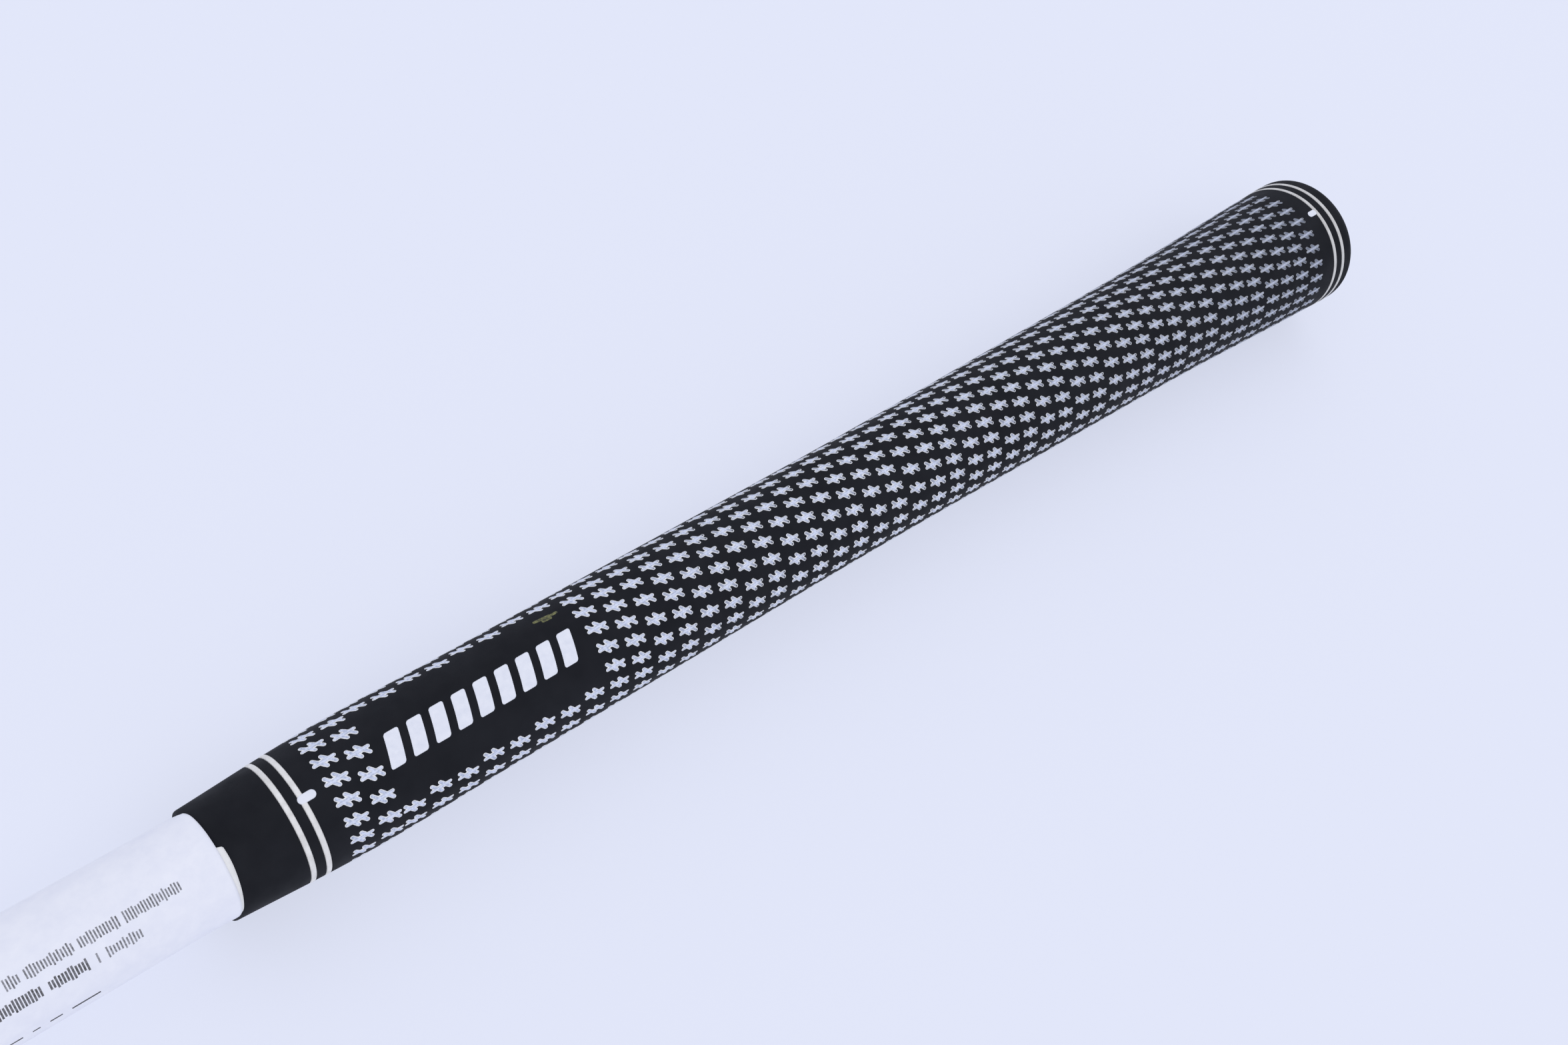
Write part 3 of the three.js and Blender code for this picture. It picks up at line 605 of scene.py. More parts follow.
def cut_grid(distance, xs, ys):
    """A flat grid kept where the distance is below zero, its edge drawn onto the outline: points,
    faces and how deep each point lies inside."""
    grid = np.stack(np.meshgrid(xs, ys, indexing="ij"), -1).reshape(-1, 2)
    inside = distance(grid) < 0
    faces = grid_faces(len(xs), len(ys), closed=False)
    faces = faces[inside[faces].any(1)]
    used, faces = np.unique(faces, return_inverse=True)
    points, faces = grid[used], faces.reshape(-1, 4)
    outside = distance(points) > 0
    nudge = 0.01
    for _ in range(3):  # steps of Newton's method
        away = distance(points)
        slope_x = (distance(points + (nudge, 0)) - away) / nudge
        slope_y = (distance(points + (0, nudge)) - away) / nudge
        slope = np.stack([slope_x, slope_y], -1)
        slope /= np.maximum((slope**2).sum(1, keepdims=True), 0.1)
        points = np.where(outside[:, None], points - away[:, None] * slope, points)
    return points, faces, np.maximum(-distance(points), 0)


def capsule(start, end, radius):
    """Signed distance to a stroke with round ends."""
    start, end = np.array(start, float), np.array(end, float)
    run = end - start

    def distance(points):
        share = np.clip((points - start) @ run / (run @ run), 0, 1)
        return np.linalg.norm(points - start - share[:, None] * run, axis=1) - radius

    return distance


def union(*distances):
    return lambda points: np.min([distance(points) for distance in distances], axis=0)


def domed(depth, proud, root):
    """Height over the grip of a patch's points, from how deep each lies inside the outline."""
    return -root + (proud + root) * np.clip(depth / PATCH_EDGE, 0, 1) ** 0.5


def patch(name, distance, box, material, proud=0.06, root=0.03, step=0.1):
    """A raised painted patch on the grip, where a function from (x, y) in mm to a signed distance is
    below zero, within a box. x is along the shaft and y goes round it."""
    xs, ys = (np.arange(low - step, high + 2 * step, step) for low, high in box)
    points, faces, depth = cut_grid(distance, xs, ys)
    radius = grip_radius(points[:, 0])
    angle = points[:, 1] / radius + twist(points[:, 0])
    points = on_shaft(points[:, 0], angle, radius + domed(depth, proud, root))
    shaft_piece(name, points, faces, material)


def mark_places():
    """(place along the grip, angle) of every mark."""
    for ring in range(MARK_RINGS):
        _, *counts = [row for row in MARK_COUNTS if row[0] <= ring][-1]
        count = counts[ring % 2]
        for index in range(count):
            angle = (index + 0.5 * (ring % 2)) * 360 / count
            if ring in BARE_RINGS and min(angle, 360 - angle) < BARE_ANGLE:
                continue
            along = FIRST_MARKS + ring * MARK_PITCH
            yield along + np.interp(along, *zip(*MARK_SHIFTS)), math.radians(angle)


def marks():
    """Every mark: copies of one cut grid, shared out over a few pieces."""
    strokes = [capsule(start, end, MARK_HALF_WIDTH) for start, end in MARK_STROKES]
    xs, ys = (np.arange(low, high, MARK_GRID) for low, high in MARK_BOX)
    points, faces, depth = cut_grid(union(*strokes, capsule(*MARK_CORE)), xs, ys)
    height = domed(depth, MARK_PROUD, MARK_ROOT)
    places = np.array(list(mark_places()))
    draws = np.random.default_rng(MARK_SEED).random(len(places))
    for part, share in enumerate(np.array_split(np.arange(len(places)), MARK_PIECES)):
        mark_piece(f"grip_marks_{part}", places[share], draws[share], points, faces, height)


def mark_piece(name, places, draws, points, faces, height):
    """Copies of one mark at their places, with what their paint needs to know."""
    middles, angles = places.T
    lengths, widths = spline(MARK_LENGTHS, middles), spline(MARK_WIDTHS, middles)
    along = middles[:, None] + lengths[:, None] * points[None, :, 0]
    radius = grip_radius(along)
    angle = angles[:, None] + twist(along) + widths[:, None] * points[None, :, 1] / radius
    spots = on_shaft(along, angle, radius + height)
    copies = len(places)
    faces = (np.arange(copies)[:, None, None] * len(points) + faces[None]).reshape(-1, 4)
    made = shaft_piece(name, spots, faces, MARK_PAINT_AND_SHADING)
    with_uv(made, "mark", np.tile(points, (copies, 1)))
    dull, hollow = (np.interp(middles, *zip(*stations)) for stations in (MARK_DULL, MARK_OPEN))
    for kind, values in (("seed", draws), ("dull", dull), ("hollow", hollow)):
        values = np.repeat(values, len(points)).astype(np.float32)
        made.data.attributes.new(kind, "FLOAT", "POINT").data.foreach_set("value", values)


def motif():
    """A row of slanted blocks with round corners, in place of lettering."""
    step = (MOTIF["end"] - MOTIF["start"]) / MOTIF["blocks"]
    width = step * MOTIF["share"] - 2 * MOTIF_CORNER
    half = MOTIF["height"] / 2 - MOTIF_CORNER
    shift = math.radians(MOTIF["angle"]) * grip_radius(MOTIF_RADIUS_AT)
    for index in range(MOTIF["blocks"]):
        middle = MOTIF["start"] + (index + 0.5) * step

        def distance(points, middle=middle):
            y = points[:, 1] - shift
            x = points[:, 0] - middle + MOTIF["slant"] * y / MOTIF["height"]
            across, around = np.abs(x) - width / 2, np.abs(y) - half
            outside = np.hypot(np.maximum(across, 0), np.maximum(around, 0))
            return outside + np.minimum(np.maximum(across, around), 0) - MOTIF_CORNER

        box = (middle - step, middle + step), (shift - half - 1, shift + half + 1)
        patch(f"motif_{index}", distance, box, WHITE_PAINT)


def tick_and_dot():
    """The short lines that the second ring and the third one run into."""
    start = RING_PLACES[1]
    tick = capsule((start, 0), (start + TICK_LENGTH, 0), TICK_HALF_WIDTH)
    patch("ring_tick", tick, ((start - 1, start + 3.5), (-1, 1)), WHITE_PAINT, proud=0.15)
    start = RING_PLACES[2] - DOT_BEFORE_RING
    dot = capsule(*((start + end, 0) for end in DOT_ENDS), DOT_HALF_WIDTH)
    patch("ring_dot", dot, ((start - 2, start + 2), (-1, 1)), WHITE_PAINT)


def scuff():
    """The smear of olive paint that the grip has picked up."""
    starts, ends, _ = zip(*SCUFF)
    box = np.transpose([np.min(starts, axis=0) - 1, np.max(ends, axis=0) + 1])
    smears = union(*(capsule(*smear) for smear in SCUFF))
    patch("grip_scuff", smears, box, SCUFF_PAINT, proud=0.03, root=0.01)


grip()
rings()
marks()
motif()
tick_and_dot()
scuff()


# ---- paper label ----


def paper(name, dark, light):
    """Matt paper with faint fibres and creases."""
    bumps = [((0.25, 5.0, 0.7), 0.012), ((14, 1.0), 0.25)]
    stops = (0.3, dark), (0.7, light)
    return surface(name, (2.5, 5.0, 0.6), stops, 0.62, bumps, {"Specular IOR Level": 0.3})


def ink(boldness):
    """Faded print, broken up where it has rubbed off."""
    dark, light = 0.16 - 0.14 * boldness, 0.62 - 0.5 * boldness
    stops = (0.35, dark), (0.62, (light, light, 1.08 * light))
    return surface(f"label_ink_{round(100 * boldness)}", (0.4, 4.0, 0.7), stops, 0.7)


WHITE_PAPER = paper("label_paper", (0.86, 0.87, 0.935), (0.92, 0.925, 0.97))
# cream paper for the first part of the sheet
CREAM_PAPER = paper("label_cream_turn", (0.83, 0.82, 0.79), (0.90, 0.89, 0.86))


def smoothstep(share):
    return share**2 * (3 - 2 * share)


def label_radius(along, angle):
    """Radius of the middle of the paper, at a place and at an angle that runs on over both turns."""
    rolled = LABEL_RADIUS + LABEL_GROWTH * (angle - LABEL_START) / 360
    facing = (angle + 180) % 360 - 180
    inside = np.minimum(facing - LABEL_OPEN[0], LABEL_OPEN[1] - facing)
    front = smoothstep(np.clip(inside / LABEL_OPEN_EASE, 0, 1))
    near = np.clip(1 + along / LABEL_FLARE, 0, 1) ** 2
    layer = np.where(angle > LABEL_START + 180, LIP_TO_PAPER[1], LIP_TO_PAPER[0])
    over_lip = np.maximum(grip_radius(np.maximum(along, 0)) + layer, rolled)
    return rolled + (over_lip - rolled) * front * near


def label():
    """The sheet of paper, rolled up."""
    angles = np.linspace(LABEL_START, LABEL_TURN + LABEL_START, LABEL_COLUMNS)
    corner_turn, corner_drop = LABEL_CORNER
    corner = np.clip((angles - LABEL_START) / corner_turn, 0, 1)
    ends = spline(LABEL_ENDS, angles) - corner_drop * (1 - np.sqrt(1 - (1 - corner) ** 2))
    coarse = np.linspace(0, LABEL_FINE_FROM, LABEL_ROWS[0] + 1)[:-1]
    share = np.concatenate([coarse, np.linspace(LABEL_FINE_FROM, 1, LABEL_ROWS[1])])
    along = -LABEL_LENGTH + share[:, None] * (ends[None, :] + LABEL_LENGTH)
    radius = label_radius(along, angles[None, :])
    points = on_shaft(along, np.radians(angles)[None, :], radius)
    faces = grid_faces(len(share), len(angles), closed=False)
    made = shaft_piece("label_sheet", points, faces, WHITE_PAPER, "label_paper", ["paper_label"])
    # the first part of the sheet takes the cream paper
    made.data.materials.append(CREAM_PAPER)
    cream_faces = np.tile(angles[:-1] < CREAM_TURN, len(share) - 1)
    made.data.polygons.foreach_set("material_index", cream_faces.astype(np.int32))
    thick = made.modifiers.new("thick", "SOLIDIFY")
    thick.thickness = LABEL_THICKNESS * MM
    thick.offset = 0


def printed_rows():
    """Rows of short strokes where the label is printed: they stand for print and spell nothing."""
    draw = np.random.default_rng(PRINT_SEED)
    for row, (angle, height, end, words, gap, boldness) in enumerate(PRINT_ROWS):
        strokes = []
        for word in words:
            count = max(1, round(word / PRINT_PITCH)) if height > 1 else 1  # a low row is of dashes
            width = word / count
            inked = 0.3 + 0.4 * boldness if count > 1 else 1
            for index in range(count):
                middle = end - (index + 0.5) * width
                strokes.append((middle, width * inked, height * draw.uniform(*PRINT_HEIGHTS)))
            end -= word + gap
        bars(f"label_print_{row}", strokes, angle + 360, ink(boldness))


def bars(name, strokes, angle, material):
    """Flat bars just above the outer turn of the label, each from (middle, width, height) in mm."""
    points, faces = [], []
    side = np.linspace(-0.5, 0.5, BAR_GRID)
    for middle, width, height in strokes:
        along = middle + width * side[:, None]
        turned = angle + np.degrees(height * side[None, :] / (LABEL_RADIUS + LABEL_GROWTH))
        along, turned = np.broadcast_arrays(along, turned)
        radius = label_radius(along, turned) + LABEL_THICKNESS / 2 + PRINT_LIFT
        faces.append(grid_faces(BAR_GRID, BAR_GRID, closed=False) + BAR_GRID**2 * len(points))
        points.append(on_shaft(along, np.radians(turned), radius).reshape(-1, 3))
    shaft_piece(name, np.concatenate(points), np.concatenate(faces), material, "label_paper")


label()
printed_rows()


# ---- CAD nodes that keep their own shape ----


def soften(made, wall=0.0, width=0.15, angle=35, merge=0.005, sharp=60):
    """Close a mesh's seams, thicken it inwards by a wall, round its edges by a width, and shade it
    smooth but for edges over an angle."""
    weld = made.modifiers.new("weld", "WELD")
    weld.merge_threshold = merge * MM
    if wall:
        thick = made.modifiers.new("thick", "SOLIDIFY")
        thick.thickness = wall * MM
        thick.offset = -1
    if width:
        bevel = made.modifiers.new("bevel", "BEVEL")
        bevel.width = width * MM
        bevel.segments = 2
        bevel.angle_limit = math.radians(sharp)
    split = made.modifiers.new("split", "EDGE_SPLIT")
    split.split_angle = math.radians(angle)


def show_cad(name, material, width):
    """Give a CAD node a material, smooth shading and small rounded edges."""
    mesh = frame["nodes"][name].data
    if "custom_normal" in mesh.attributes:
        mesh.attributes.remove(mesh.attributes["custom_normal"])
    mesh.shade_smooth()
    mesh.materials.clear()
    mesh.materials.append(material)
    soften(frame["nodes"][name], 0, width, 38, 0.002, 40)


def graphite():
    """Painted graphite under a clear coat: near black, with a faint grain along the shaft."""
    grain = 0.5, 6.0, 0.7, (0.04, 1, 1)
    stops = (0.35, (0.008, 0.009, 0.012)), (0.7, (0.022, 0.024, 0.03))
    coat = {"Metallic": 0.2, "Coat Weight": 1.0, "Coat Roughness": 0.06}
    return surface("graphite", grain, stops, (grain, (0.3, 0.28), (0.7, 0.42)), [(grain, 0.01)], coat)


def metal(name, dark, light, roughness, grain_size=0.25, stretch=(1, 1, 1)):
    """Machined metal with fine tool marks and a little wear, its roughness between two numbers."""
    grain = grain_size, 5.0, 0.65, stretch
    low, high = roughness
    wear = (2.5, 4.0), (0.3, low), (0.7, high)
    return surface(name, grain, ((0.3, dark), (0.72, light)), wear, [(grain, 0.003)], {"Metallic": 1.0})


def plastic(name, dark, light, roughness):
    """Moulded or turned plastic and rubber parts, their roughness between two numbers."""
    low, high = roughness
    wear = (0.9, 4.0), (0.3, low), (0.7, high)
    return surface(name, (1.8, 5.0), ((0.3, dark), (0.7, light)), wear, [((0.2, 4.0), 0.006)])


CREAM = (0.3, (0.62, 0.55, 0.37)), (0.7, (0.74, 0.67, 0.48))
TAPE = surface("grip_tape", (1.2, 5.0), CREAM, 0.8, [((0.5, 5.0), 0.05)])
STEEL = metal("screw_steel", (0.42, 0.43, 0.45), (0.60, 0.61, 0.63), (0.22, 0.38))
ANODISED = metal("anodised_alloy", (0.035, 0.037, 0.042), (0.075, 0.078, 0.085), (0.3, 0.42))
TUNGSTEN = metal("weight_metal", (0.16, 0.165, 0.18), (0.30, 0.305, 0.32), (0.3, 0.45))
SEAL = plastic("seal_rubber", (0.008, 0.008, 0.009), (0.016, 0.016, 0.018), (0.6, 0.75))
FERRULE = plastic("ferrule_plastic", (0.005, 0.005, 0.006), (0.011, 0.011, 0.013), (0.12, 0.24))

SHOWN_CAD = (  # material, rounding of the edges in mm, and nodes
    (graphite(), 0, ("shaft",)),
    (TAPE, 0, ("grip_tape",)),
    (FERRULE, 0, ("ferrule",)),
    (ANODISED, 0.12, ("upper_cog", "lower_cog", "adapter_sleeve")),
    (STEEL, 0.08, ("hosel_screw", "screw_washer", "tip_weight_pin")),
    (STEEL, 0.08, ("front_weight_screw", "rear_weight_screw")),
    (TUNGSTEN, 0.1, ("front_weight", "rear_weight", "tungsten_bar")),
    (SEAL, 0.12, ("screw_retainer",)),
)
for shown_as, rounding, cad_nodes in SHOWN_CAD:
    for cad_node in cad_nodes:
        show_cad(cad_node, shown_as, rounding)


# ---- head ----

HEAD_X = -unit(ALONG - (ALONG @ HEAD_UP) * HEAD_UP)
HEAD_Y = np.cross(HEAD_UP, HEAD_X)
GROUND = MOUTH + (GRIP_LENGTH - CLUB_LENGTH) * ALONG
AXIS = np.array([ALONG @ HEAD_X, ALONG @ HEAD_Y, ALONG @ HEAD_UP])
LOFT_COS, LOFT_SIN = math.cos(math.radians(LOFT)), math.sin(math.radians(LOFT))
LOFTED = np.array([0, LOFT_COS, LOFT_SIN])  # straight out of the face
UP_FACE = np.array([0, -LOFT_SIN, LOFT_COS])


def from_head(points):
    """Points of the head frame in the row frame, the outermost eased into the CAD frame's box."""
    points = GROUND + np.asarray(points) @ np.stack([HEAD_X, HEAD_Y, HEAD_UP])
    low, high = np.array(cad_box[0]) / MM + EASE_GAP, np.array(cad_box[1]) / MM - EASE_GAP
    over, under = np.maximum(points - high + EASE, 0), np.maximum(low + EASE - points, 0)
    return points - over + EASE * np.tanh(over / EASE) + under - EASE * np.tanh(under / EASE)


def squared(value, power):
    """A sine or cosine bent so that a circle becomes a superellipse of that power."""
    return np.sign(value) * np.abs(value) ** (2 / power)


def head_surface(around, rise_to):
    """Points of the head's outside: around runs 0..1 from the toe through the face, rise_to 0..1 from
    the middle of the sole to the middle of the crown."""
    turned = 2 * math.pi * around
    below = rise_to < 0.5
    level = np.where(below, 2 * rise_to, 2 - 2 * rise_to)
    across = np.sin(level * math.pi / 2) ** RIM_CROWDING
    climb = np.arccos(np.clip(across, 0, 1)) * np.where(below, -1, 1)
    to_face = smoothstep(np.clip(np.sin(turned) + FACE_BLEND_START, 0, 1))
    outline, profile = (start + more * to_face for start, more in (OUTLINE_POWER, PROFILE_POWER))
    out, up = squared(np.cos(climb), profile), squared(np.sin(climb), profile)
    depth = np.where(np.sin(turned) > 0, FACE_DEPTH, BACK_DEPTH)
    x = squared(np.cos(turned), outline) * HALF_WIDTH * out
    y = squared(np.sin(turned), outline) * depth * out
    z = SKIRT_HEIGHT + np.where(up > 0, CROWN_RISE, SKIRT_HEIGHT) * up
    y = y - math.tan(math.radians(LOFT)) * (z - SKIRT_HEIGHT) * to_face * out**2
    z = z + np.where(up > 0, CROWN_TILT * y * up, 0)
    return np.stack([HEAD_CENTRE[0] + x, HEAD_CENTRE[1] + y, z], -1)


def rounded(x, y, half_x, half_y, power):
    """Distance outside a rounded outline about the origin, close to the true one near its edge."""
    size = (np.abs(x / half_x) ** power + np.abs(y / half_y) ** power) ** (1 / power)
    return (size - 1) * min(half_x, half_y)


def from_line(points, start, direction):
    """Distance of points from a line, and how far along it they lie."""
    away = points - np.asarray(start)
    along = away @ direction
    return np.linalg.norm(away - along[..., None] * direction, axis=-1), along


def port_line(port):
    """Where a port's axis starts, and its direction into the head."""
    start, tilt = PORTS[port]
    tilt = math.radians(tilt)
    return np.array(start, float), np.array([0, -math.sin(tilt), math.cos(tilt)])


def panel_distance(x, y, gap=0.0):
    half_x, half_y = PANEL["half_x"] - gap, PANEL["half_y"] - gap
    return rounded(x - PANEL["x"], y - PANEL["y"], half_x, half_y, PANEL["power"])


def plate_distance(across, up, gap=0.0):
    """The same for the face plate, in its own plane and from its own middle."""
    return rounded(across, up, PLATE["half_x"] - gap, PLATE["half_z"] - gap, PLATE["power"])


def shell_distance(spots):
    """Signed distance from what the shell covers of the head's outside, which is all but its holes."""
    points = head_surface(*spots.T / GRID_SPAN)
    x, y, z = points.T
    from_middle = points - (0, 0, PLATE["z"])
    from_plate = plate_distance(x - PLATE["x"], from_middle @ UP_FACE)
    from_axis, along = from_line(points, (0, 0, 0), AXIS)
    holes = [
        np.where(z > SKIRT_HEIGHT, panel_distance(x, y), FAR),
        np.where(from_middle @ LOFTED > PLATE_SIDE, from_plate, FAR),
        from_axis - np.where(along > SEAT[1], HOSEL_HOLE, WRENCH_PORT),
    ]
    for port in PORTS:
        from_port, _ = from_line(points, *port_line(port))
        holes.append(np.where(z < SKIRT_HEIGHT, from_port - PORT_RADIUS - PORT_STEP, FAR))
    return -np.min(holes, axis=0)


def head_paint():
    """Black gloss paint with a fine metallic flake, under a clear coat."""
    stops = (0.45, (0.004, 0.0042, 0.005)), (0.75, (0.016, 0.017, 0.02))
    coat = {"Specular IOR Level": 0.2, "Coat Weight": 0.8, "Coat Roughness": 0.05}
    haze = (18,), (0.3, 0.3), (0.7, 0.42)
    return surface("head_paint", (0.12, 2.0, 0.5), stops, haze, [((3, 2.0), 0.005)], coat)


def carbon():
    """Twill carbon cloth under a clear coat, woven over the panel's UV map in mm, with a painted sheen on
    the crosswise tows.
    """
    made, tree, shader = new_material("crown_carbon")
    at = node(tree, "UVMap", uv_map="mm").outputs["UV"]
    axes = node(tree, "SeparateXYZ", {0: at}).outputs[:2]
    cells = [maths(tree, "FLOOR", maths(tree, "DIVIDE", axis, WEAVE)) for axis in axes]
    step = maths(tree, "FLOORED_MODULO", maths(tree, "ADD", *cells), 4.0)
    over = maths(tree, "GREATER_THAN", step, 1.5)  # two tows over, two under
    angles = [maths(tree, "MULTIPLY", axis, math.pi / WEAVE) for axis in axes]
    waves = [maths(tree, "ABSOLUTE", maths(tree, "SINE", angle)) for angle in angles]
    fibres = []
    for scale in ((0.3, 6, 1), (6, 0.3, 1)):
        drawn_out = node(tree, "Mapping", {"Vector": at, "Scale": scale}).outputs[0]
        inputs = {"Vector": drawn_out, "Scale": 1.0, "Detail": 3.0}
        fibres.append(node(tree, "TexNoise", inputs).outputs["Fac"])
    # painted sheen: the crosswise tows are coloured lighter than the lengthwise ones, in place of their
    # reflection
    lengthwise = ramp(tree, fibres[0], (0.3, (0.003, 0.003, 0.004)), (0.7, (0.010, 0.0105, 0.012)))
    crosswise_sheen = ramp(tree, fibres[1], (0.3, (0.014, 0.0145, 0.016)), (0.7, (0.032, 0.033, 0.037)))
    colour = mix(tree, over, lengthwise, crosswise_sheen)
    roughness = ramp(tree, over, (0.0, 0.34), (1.0, 0.26))
    feed(shader, {"Base Color": colour, "Roughness": roughness, "Specular IOR Level": 0.3})
    feed(shader, {"Coat Weight": 0.8, "Coat Roughness": 0.04})
    rise(tree, shader, mix(tree, over, waves[1], waves[0]), 0.008)
    return made


def head_piece(name, points, faces, material, replaces=()):
    """A piece of the head from points in the head frame."""
    return piece(name, from_head(points), faces, material, "head", replaces)


def shell():
    """The head's body: its outside with the holes cut out, thickened inwards."""
    across, up = (np.linspace(0, GRID_SPAN, count) for count in HEAD_GRID)
    spots, faces, _ = cut_grid(shell_distance, across, up)
    points = head_surface(*spots.T / GRID_SPAN)
    made = head_piece("head_shell", points, faces[:, ::-1], HEAD_PAINT, ["head_body"])
    soften(made, BODY_WALL)


def outside_of_head():
    """The head's outside as a tree that rays can be cast at, in the head frame."""
    around, up = np.meshgrid(*(np.linspace(0, 1, count) for count in RAY_GRID), indexing="ij")
    points = head_surface(around, up).reshape(-1, 3)
    return BVHTree.FromPolygons(points.tolist(), grid_faces(*RAY_GRID, closed=False).tolist())


def cast(origins, direction):
    """Where rays meet the head's outside."""
    direction = Vector(direction)
    return np.array([OUTSIDE.ray_cast(Vector(origin), direction)[0] for origin in origins])


def past(middle, half, step):
    """Places in a row from before a piece's one edge to past its other."""
    return np.arange(middle - half - 1, middle + half + 2, step)


def panel():
    """The carbon crown, cast straight down on the head's outside."""
    xs = past(PANEL["x"], PANEL["half_x"], PANEL["grid"])
    ys = past(PANEL["y"], PANEL["half_y"], PANEL["grid"])
    spots, faces, _ = cut_grid(lambda at: panel_distance(*at.T, SEAM), xs, ys)
    points = cast(np.column_stack([spots, np.full(len(spots), FAR)]), (0, 0, -1))
    slot, replaced = "carbon_composite", ["crown_panel"]
    made = head_piece("crown_skin", points, faces[:, ::-1], carbon(), replaced)
    with_uv(made, "mm", spots)
    soften(made, PANEL_WALL, 0.1)


def plate():
    """The face, cast square on the head's outside, with its score lines sunk in."""
    xs = past(0, PLATE["half_x"], PLATE["grid"])
    rows = [side * SCORE_HALF_WIDTH * share for side in (-1, 1) for share in SCORE_ROWS]
    edges = [line + row for line in SCORE_LINES for row in rows]
    ys = np.unique(np.concatenate([past(0, PLATE["half_z"], PLATE["grid"]), edges]).round(3))
    spots, faces, _ = cut_grid(lambda at: plate_distance(*at.T, SEAM), xs, ys)
    origins = np.outer(spots[:, 1], UP_FACE) + (0, 0, PLATE["z"]) + FAR * LOFTED
    origins[:, 0] += PLATE["x"] + spots[:, 0]
    points = cast(origins, -LOFTED)
    nearest = np.min(np.abs(spots[:, 1, None] - np.array(SCORE_LINES)), axis=1)
    sunk = np.clip((SCORE_HALF_WIDTH - nearest) / (SCORE_WALL * SCORE_HALF_WIDTH), 0, 1)
    sunk *= np.clip((SCORE_HALF_LENGTH - np.abs(spots[:, 0])) / SCORE_RUN_OUT, 0, 1)
    points -= np.outer(SCORE_DEPTH * sunk, LOFTED)
    made = head_piece("face_skin", points, faces, FACE_STEEL, ["face_plate"])
    made.data.materials.append(SCORE_PAINT)
    painted = sunk[faces].mean(1) > 0.6
    made.data.polygons.foreach_set("material_index", painted.astype(np.int32))
    soften(made, PLATE_WALL, 0.1, 30)


def circle(direction, beside):
    """Unit vectors all round a line of the head frame."""
    angle = np.linspace(0, 2 * math.pi, HEAD_SIDES, endpoint=False)[:, None]
    side = unit(np.cross(direction, beside))
    return np.cos(angle) * side + np.sin(angle) * np.cross(direction, side)


def turned_piece(name, profile, start, direction, replaces=()):
    """A painted surface of revolution about a line of the head frame, from (along, radius) pairs."""
    along, radius = np.array(profile, float).T[:, :, None, None]
    points = np.asarray(start) + along * direction + radius * circle(direction, (0.3, 1, 0.2))
    faces = grid_faces(len(profile), HEAD_SIDES)
    made = head_piece(name, points, faces, HEAD_PAINT, replaces)
    soften(made, 0, 0, 40)


def port_cups():
    """The pockets that the weights sit in, each with a threaded hole in its floor."""
    outer, edge = PORT_RADIUS + PORT_WALL, PORT_CHAMFER
    profile = [(PORT_LIP[0], outer), (PORT_LIP[0], PORT_RADIUS + 0.1), (PORT_LIP[1], PORT_RADIUS)]
    profile += [(PORT_FLOOR - edge, PORT_RADIUS), (PORT_FLOOR, PORT_RADIUS - edge)]
    profile += [(PORT_FLOOR, PORT_THREAD + edge), (PORT_FLOOR + edge, PORT_THREAD)]
    profile += [(PORT_TOP, PORT_THREAD), (PORT_TOP, outer), (PORT_WALL_FOOT, outer)]
    for port in PORTS:
        turned_piece(f"{port}_port", profile[::-1], *port_line(port))


def hosel():
    """The tube that the adapter sits in, with the screw's seat across it."""
    along = np.linspace(HOSEL_PROFILE[0][0], HOSEL_PROFILE[-1][0], 60)
    profile = list(zip(along, spline(HOSEL_PROFILE, along)))
    shoulder = HOSEL_TOP - HOSEL_EDGE
    profile += [(shoulder, HOSEL_RIM[0]), (HOSEL_TOP, HOSEL_RIM[1])]
    profile += [(HOSEL_TOP, HOSEL_BORE + HOSEL_EDGE), (shoulder, HOSEL_BORE)]
    profile += [(SEAT[1], HOSEL_BORE), (SEAT[1], SEAT_HOLE), (SEAT[0], SEAT_HOLE), (SEAT[0], WRENCH_PORT)]
    turned_piece("hosel_skin", profile, (0, 0, 0), AXIS, ["hosel"])


def wrench_port():
    """The wall of the hole through the sole under the hosel screw."""
    around = WRENCH_PORT * circle(AXIS, (0, 1, 0))
    foot = cast(around - FAR * AXIS, AXIS)
    top = around + SEAT[0] * AXIS
    points = np.stack([foot + share * (top - foot) for share in (1, 0.5, 0.02)])
    head_piece("wrench_port_wall", points, grid_faces(3, HEAD_SIDES), HEAD_PAINT)


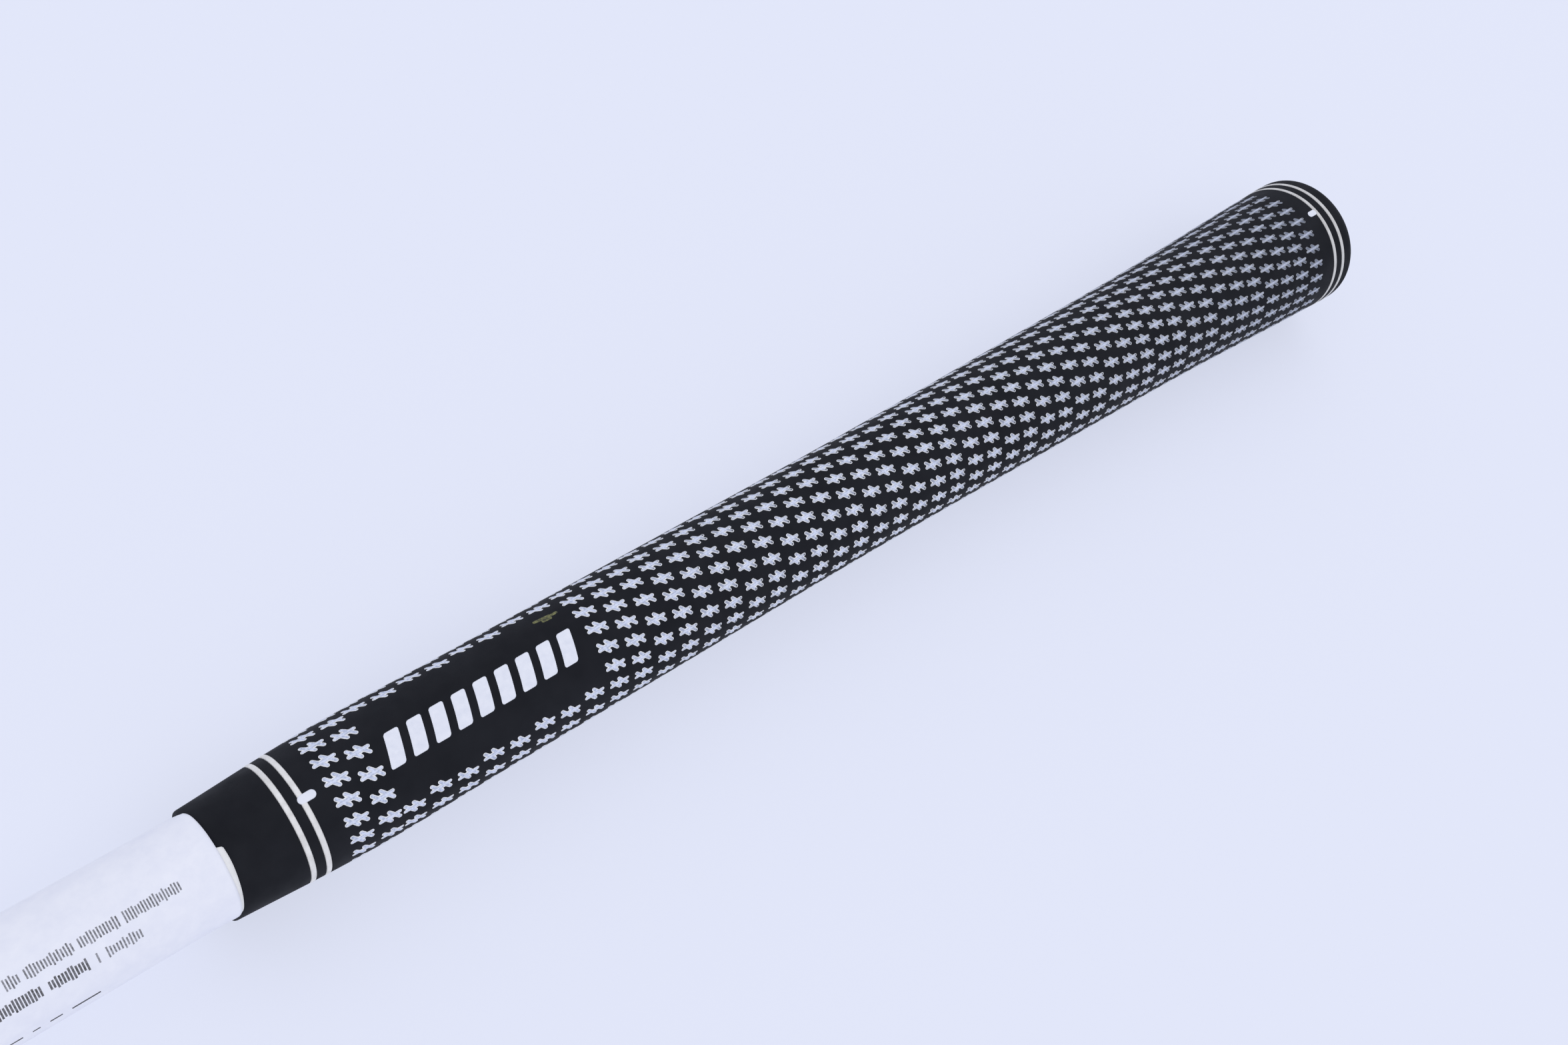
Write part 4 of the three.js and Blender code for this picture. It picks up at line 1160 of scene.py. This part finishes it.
HEAD_PAINT = head_paint()
FACE_STEEL = metal("face_steel", (0.30, 0.305, 0.32), (0.44, 0.445, 0.46), (0.3, 0.42), 0.3, (1, 1, 0.15))
SCORE_PAINT = plastic("score_paint", (0.012, 0.012, 0.014), (0.03, 0.03, 0.033), (0.5, 0.65))
OUTSIDE = outside_of_head()

shell()
panel()
plate()
port_cups()
hosel()
wrench_port()


# ---- stage, light and camera ----


def turn(v):
    """A direction in the club's terms as one in the row frame."""
    return v[0] * ALONG + v[1] * TOE + v[2] * BACK


def add(name, data):
    """A new object in the scene."""
    made = bpy.data.objects.new(name, data)
    bpy.context.scene.collection.objects.link(made)
    return made


def stage():
    """A plain pale floor."""
    made, _, shader = new_material("stage_floor")
    glow = {"Emission Color": FLOOR_GLOW, "Emission Strength": FLOOR_GLOW_STRENGTH}
    feed(shader, {"Base Color": FLOOR_COLOUR, "Roughness": 0.9, **glow})
    mesh = bpy.data.meshes.new("stage_floor")
    far = FLOOR_HALF_SIZE
    mesh.from_pydata([(-far, -far, 0), (far, -far, 0), (far, far, 0), (-far, far, 0)], [], [(0, 1, 2, 3)])
    mesh.materials.append(made)
    add("stage_floor", mesh)


def lights():
    """A soft sky and two large lamps."""
    world = bpy.data.worlds.new("studio")
    bpy.context.scene.world = world
    world.use_nodes = True
    feed(world.node_tree.nodes["Background"], {"Color": SKY_COLOUR, "Strength": SKY_STRENGTH})
    for name, spot, aim, size, power, colour in LIGHTS:
        data = bpy.data.lights.new(name, "AREA")
        data.shape, data.size, data.energy, data.color = "DISK", size, power, colour
        made = add(name, data)
        made.location = spot
        made.rotation_mode = "QUATERNION"
        made.rotation_quaternion = (Vector(aim) - Vector(spot)).to_track_quat("-Z", "Y")


def camera():
    """The photo's camera."""
    data = bpy.data.cameras.new("camera")
    data.lens = CAMERA_LENS
    data.sensor_width = CAMERA_SENSOR
    data.clip_start = 0.01
    made = add("camera", data)
    back = -Vector(turn(CAMERA_AIM)).normalized()
    right = Vector(turn(CAMERA_UP)).cross(back).normalized()
    up = back.cross(right)
    spot = (MOUTH + turn(CAMERA_PLACE)) * MM
    made.matrix_world = Matrix.Translation(spot) @ Matrix((right, up, back)).transposed().to_4x4()
    bpy.context.scene.camera = made


bpy.context.scene.view_settings.view_transform = "Standard"
stage()
lights()
camera()
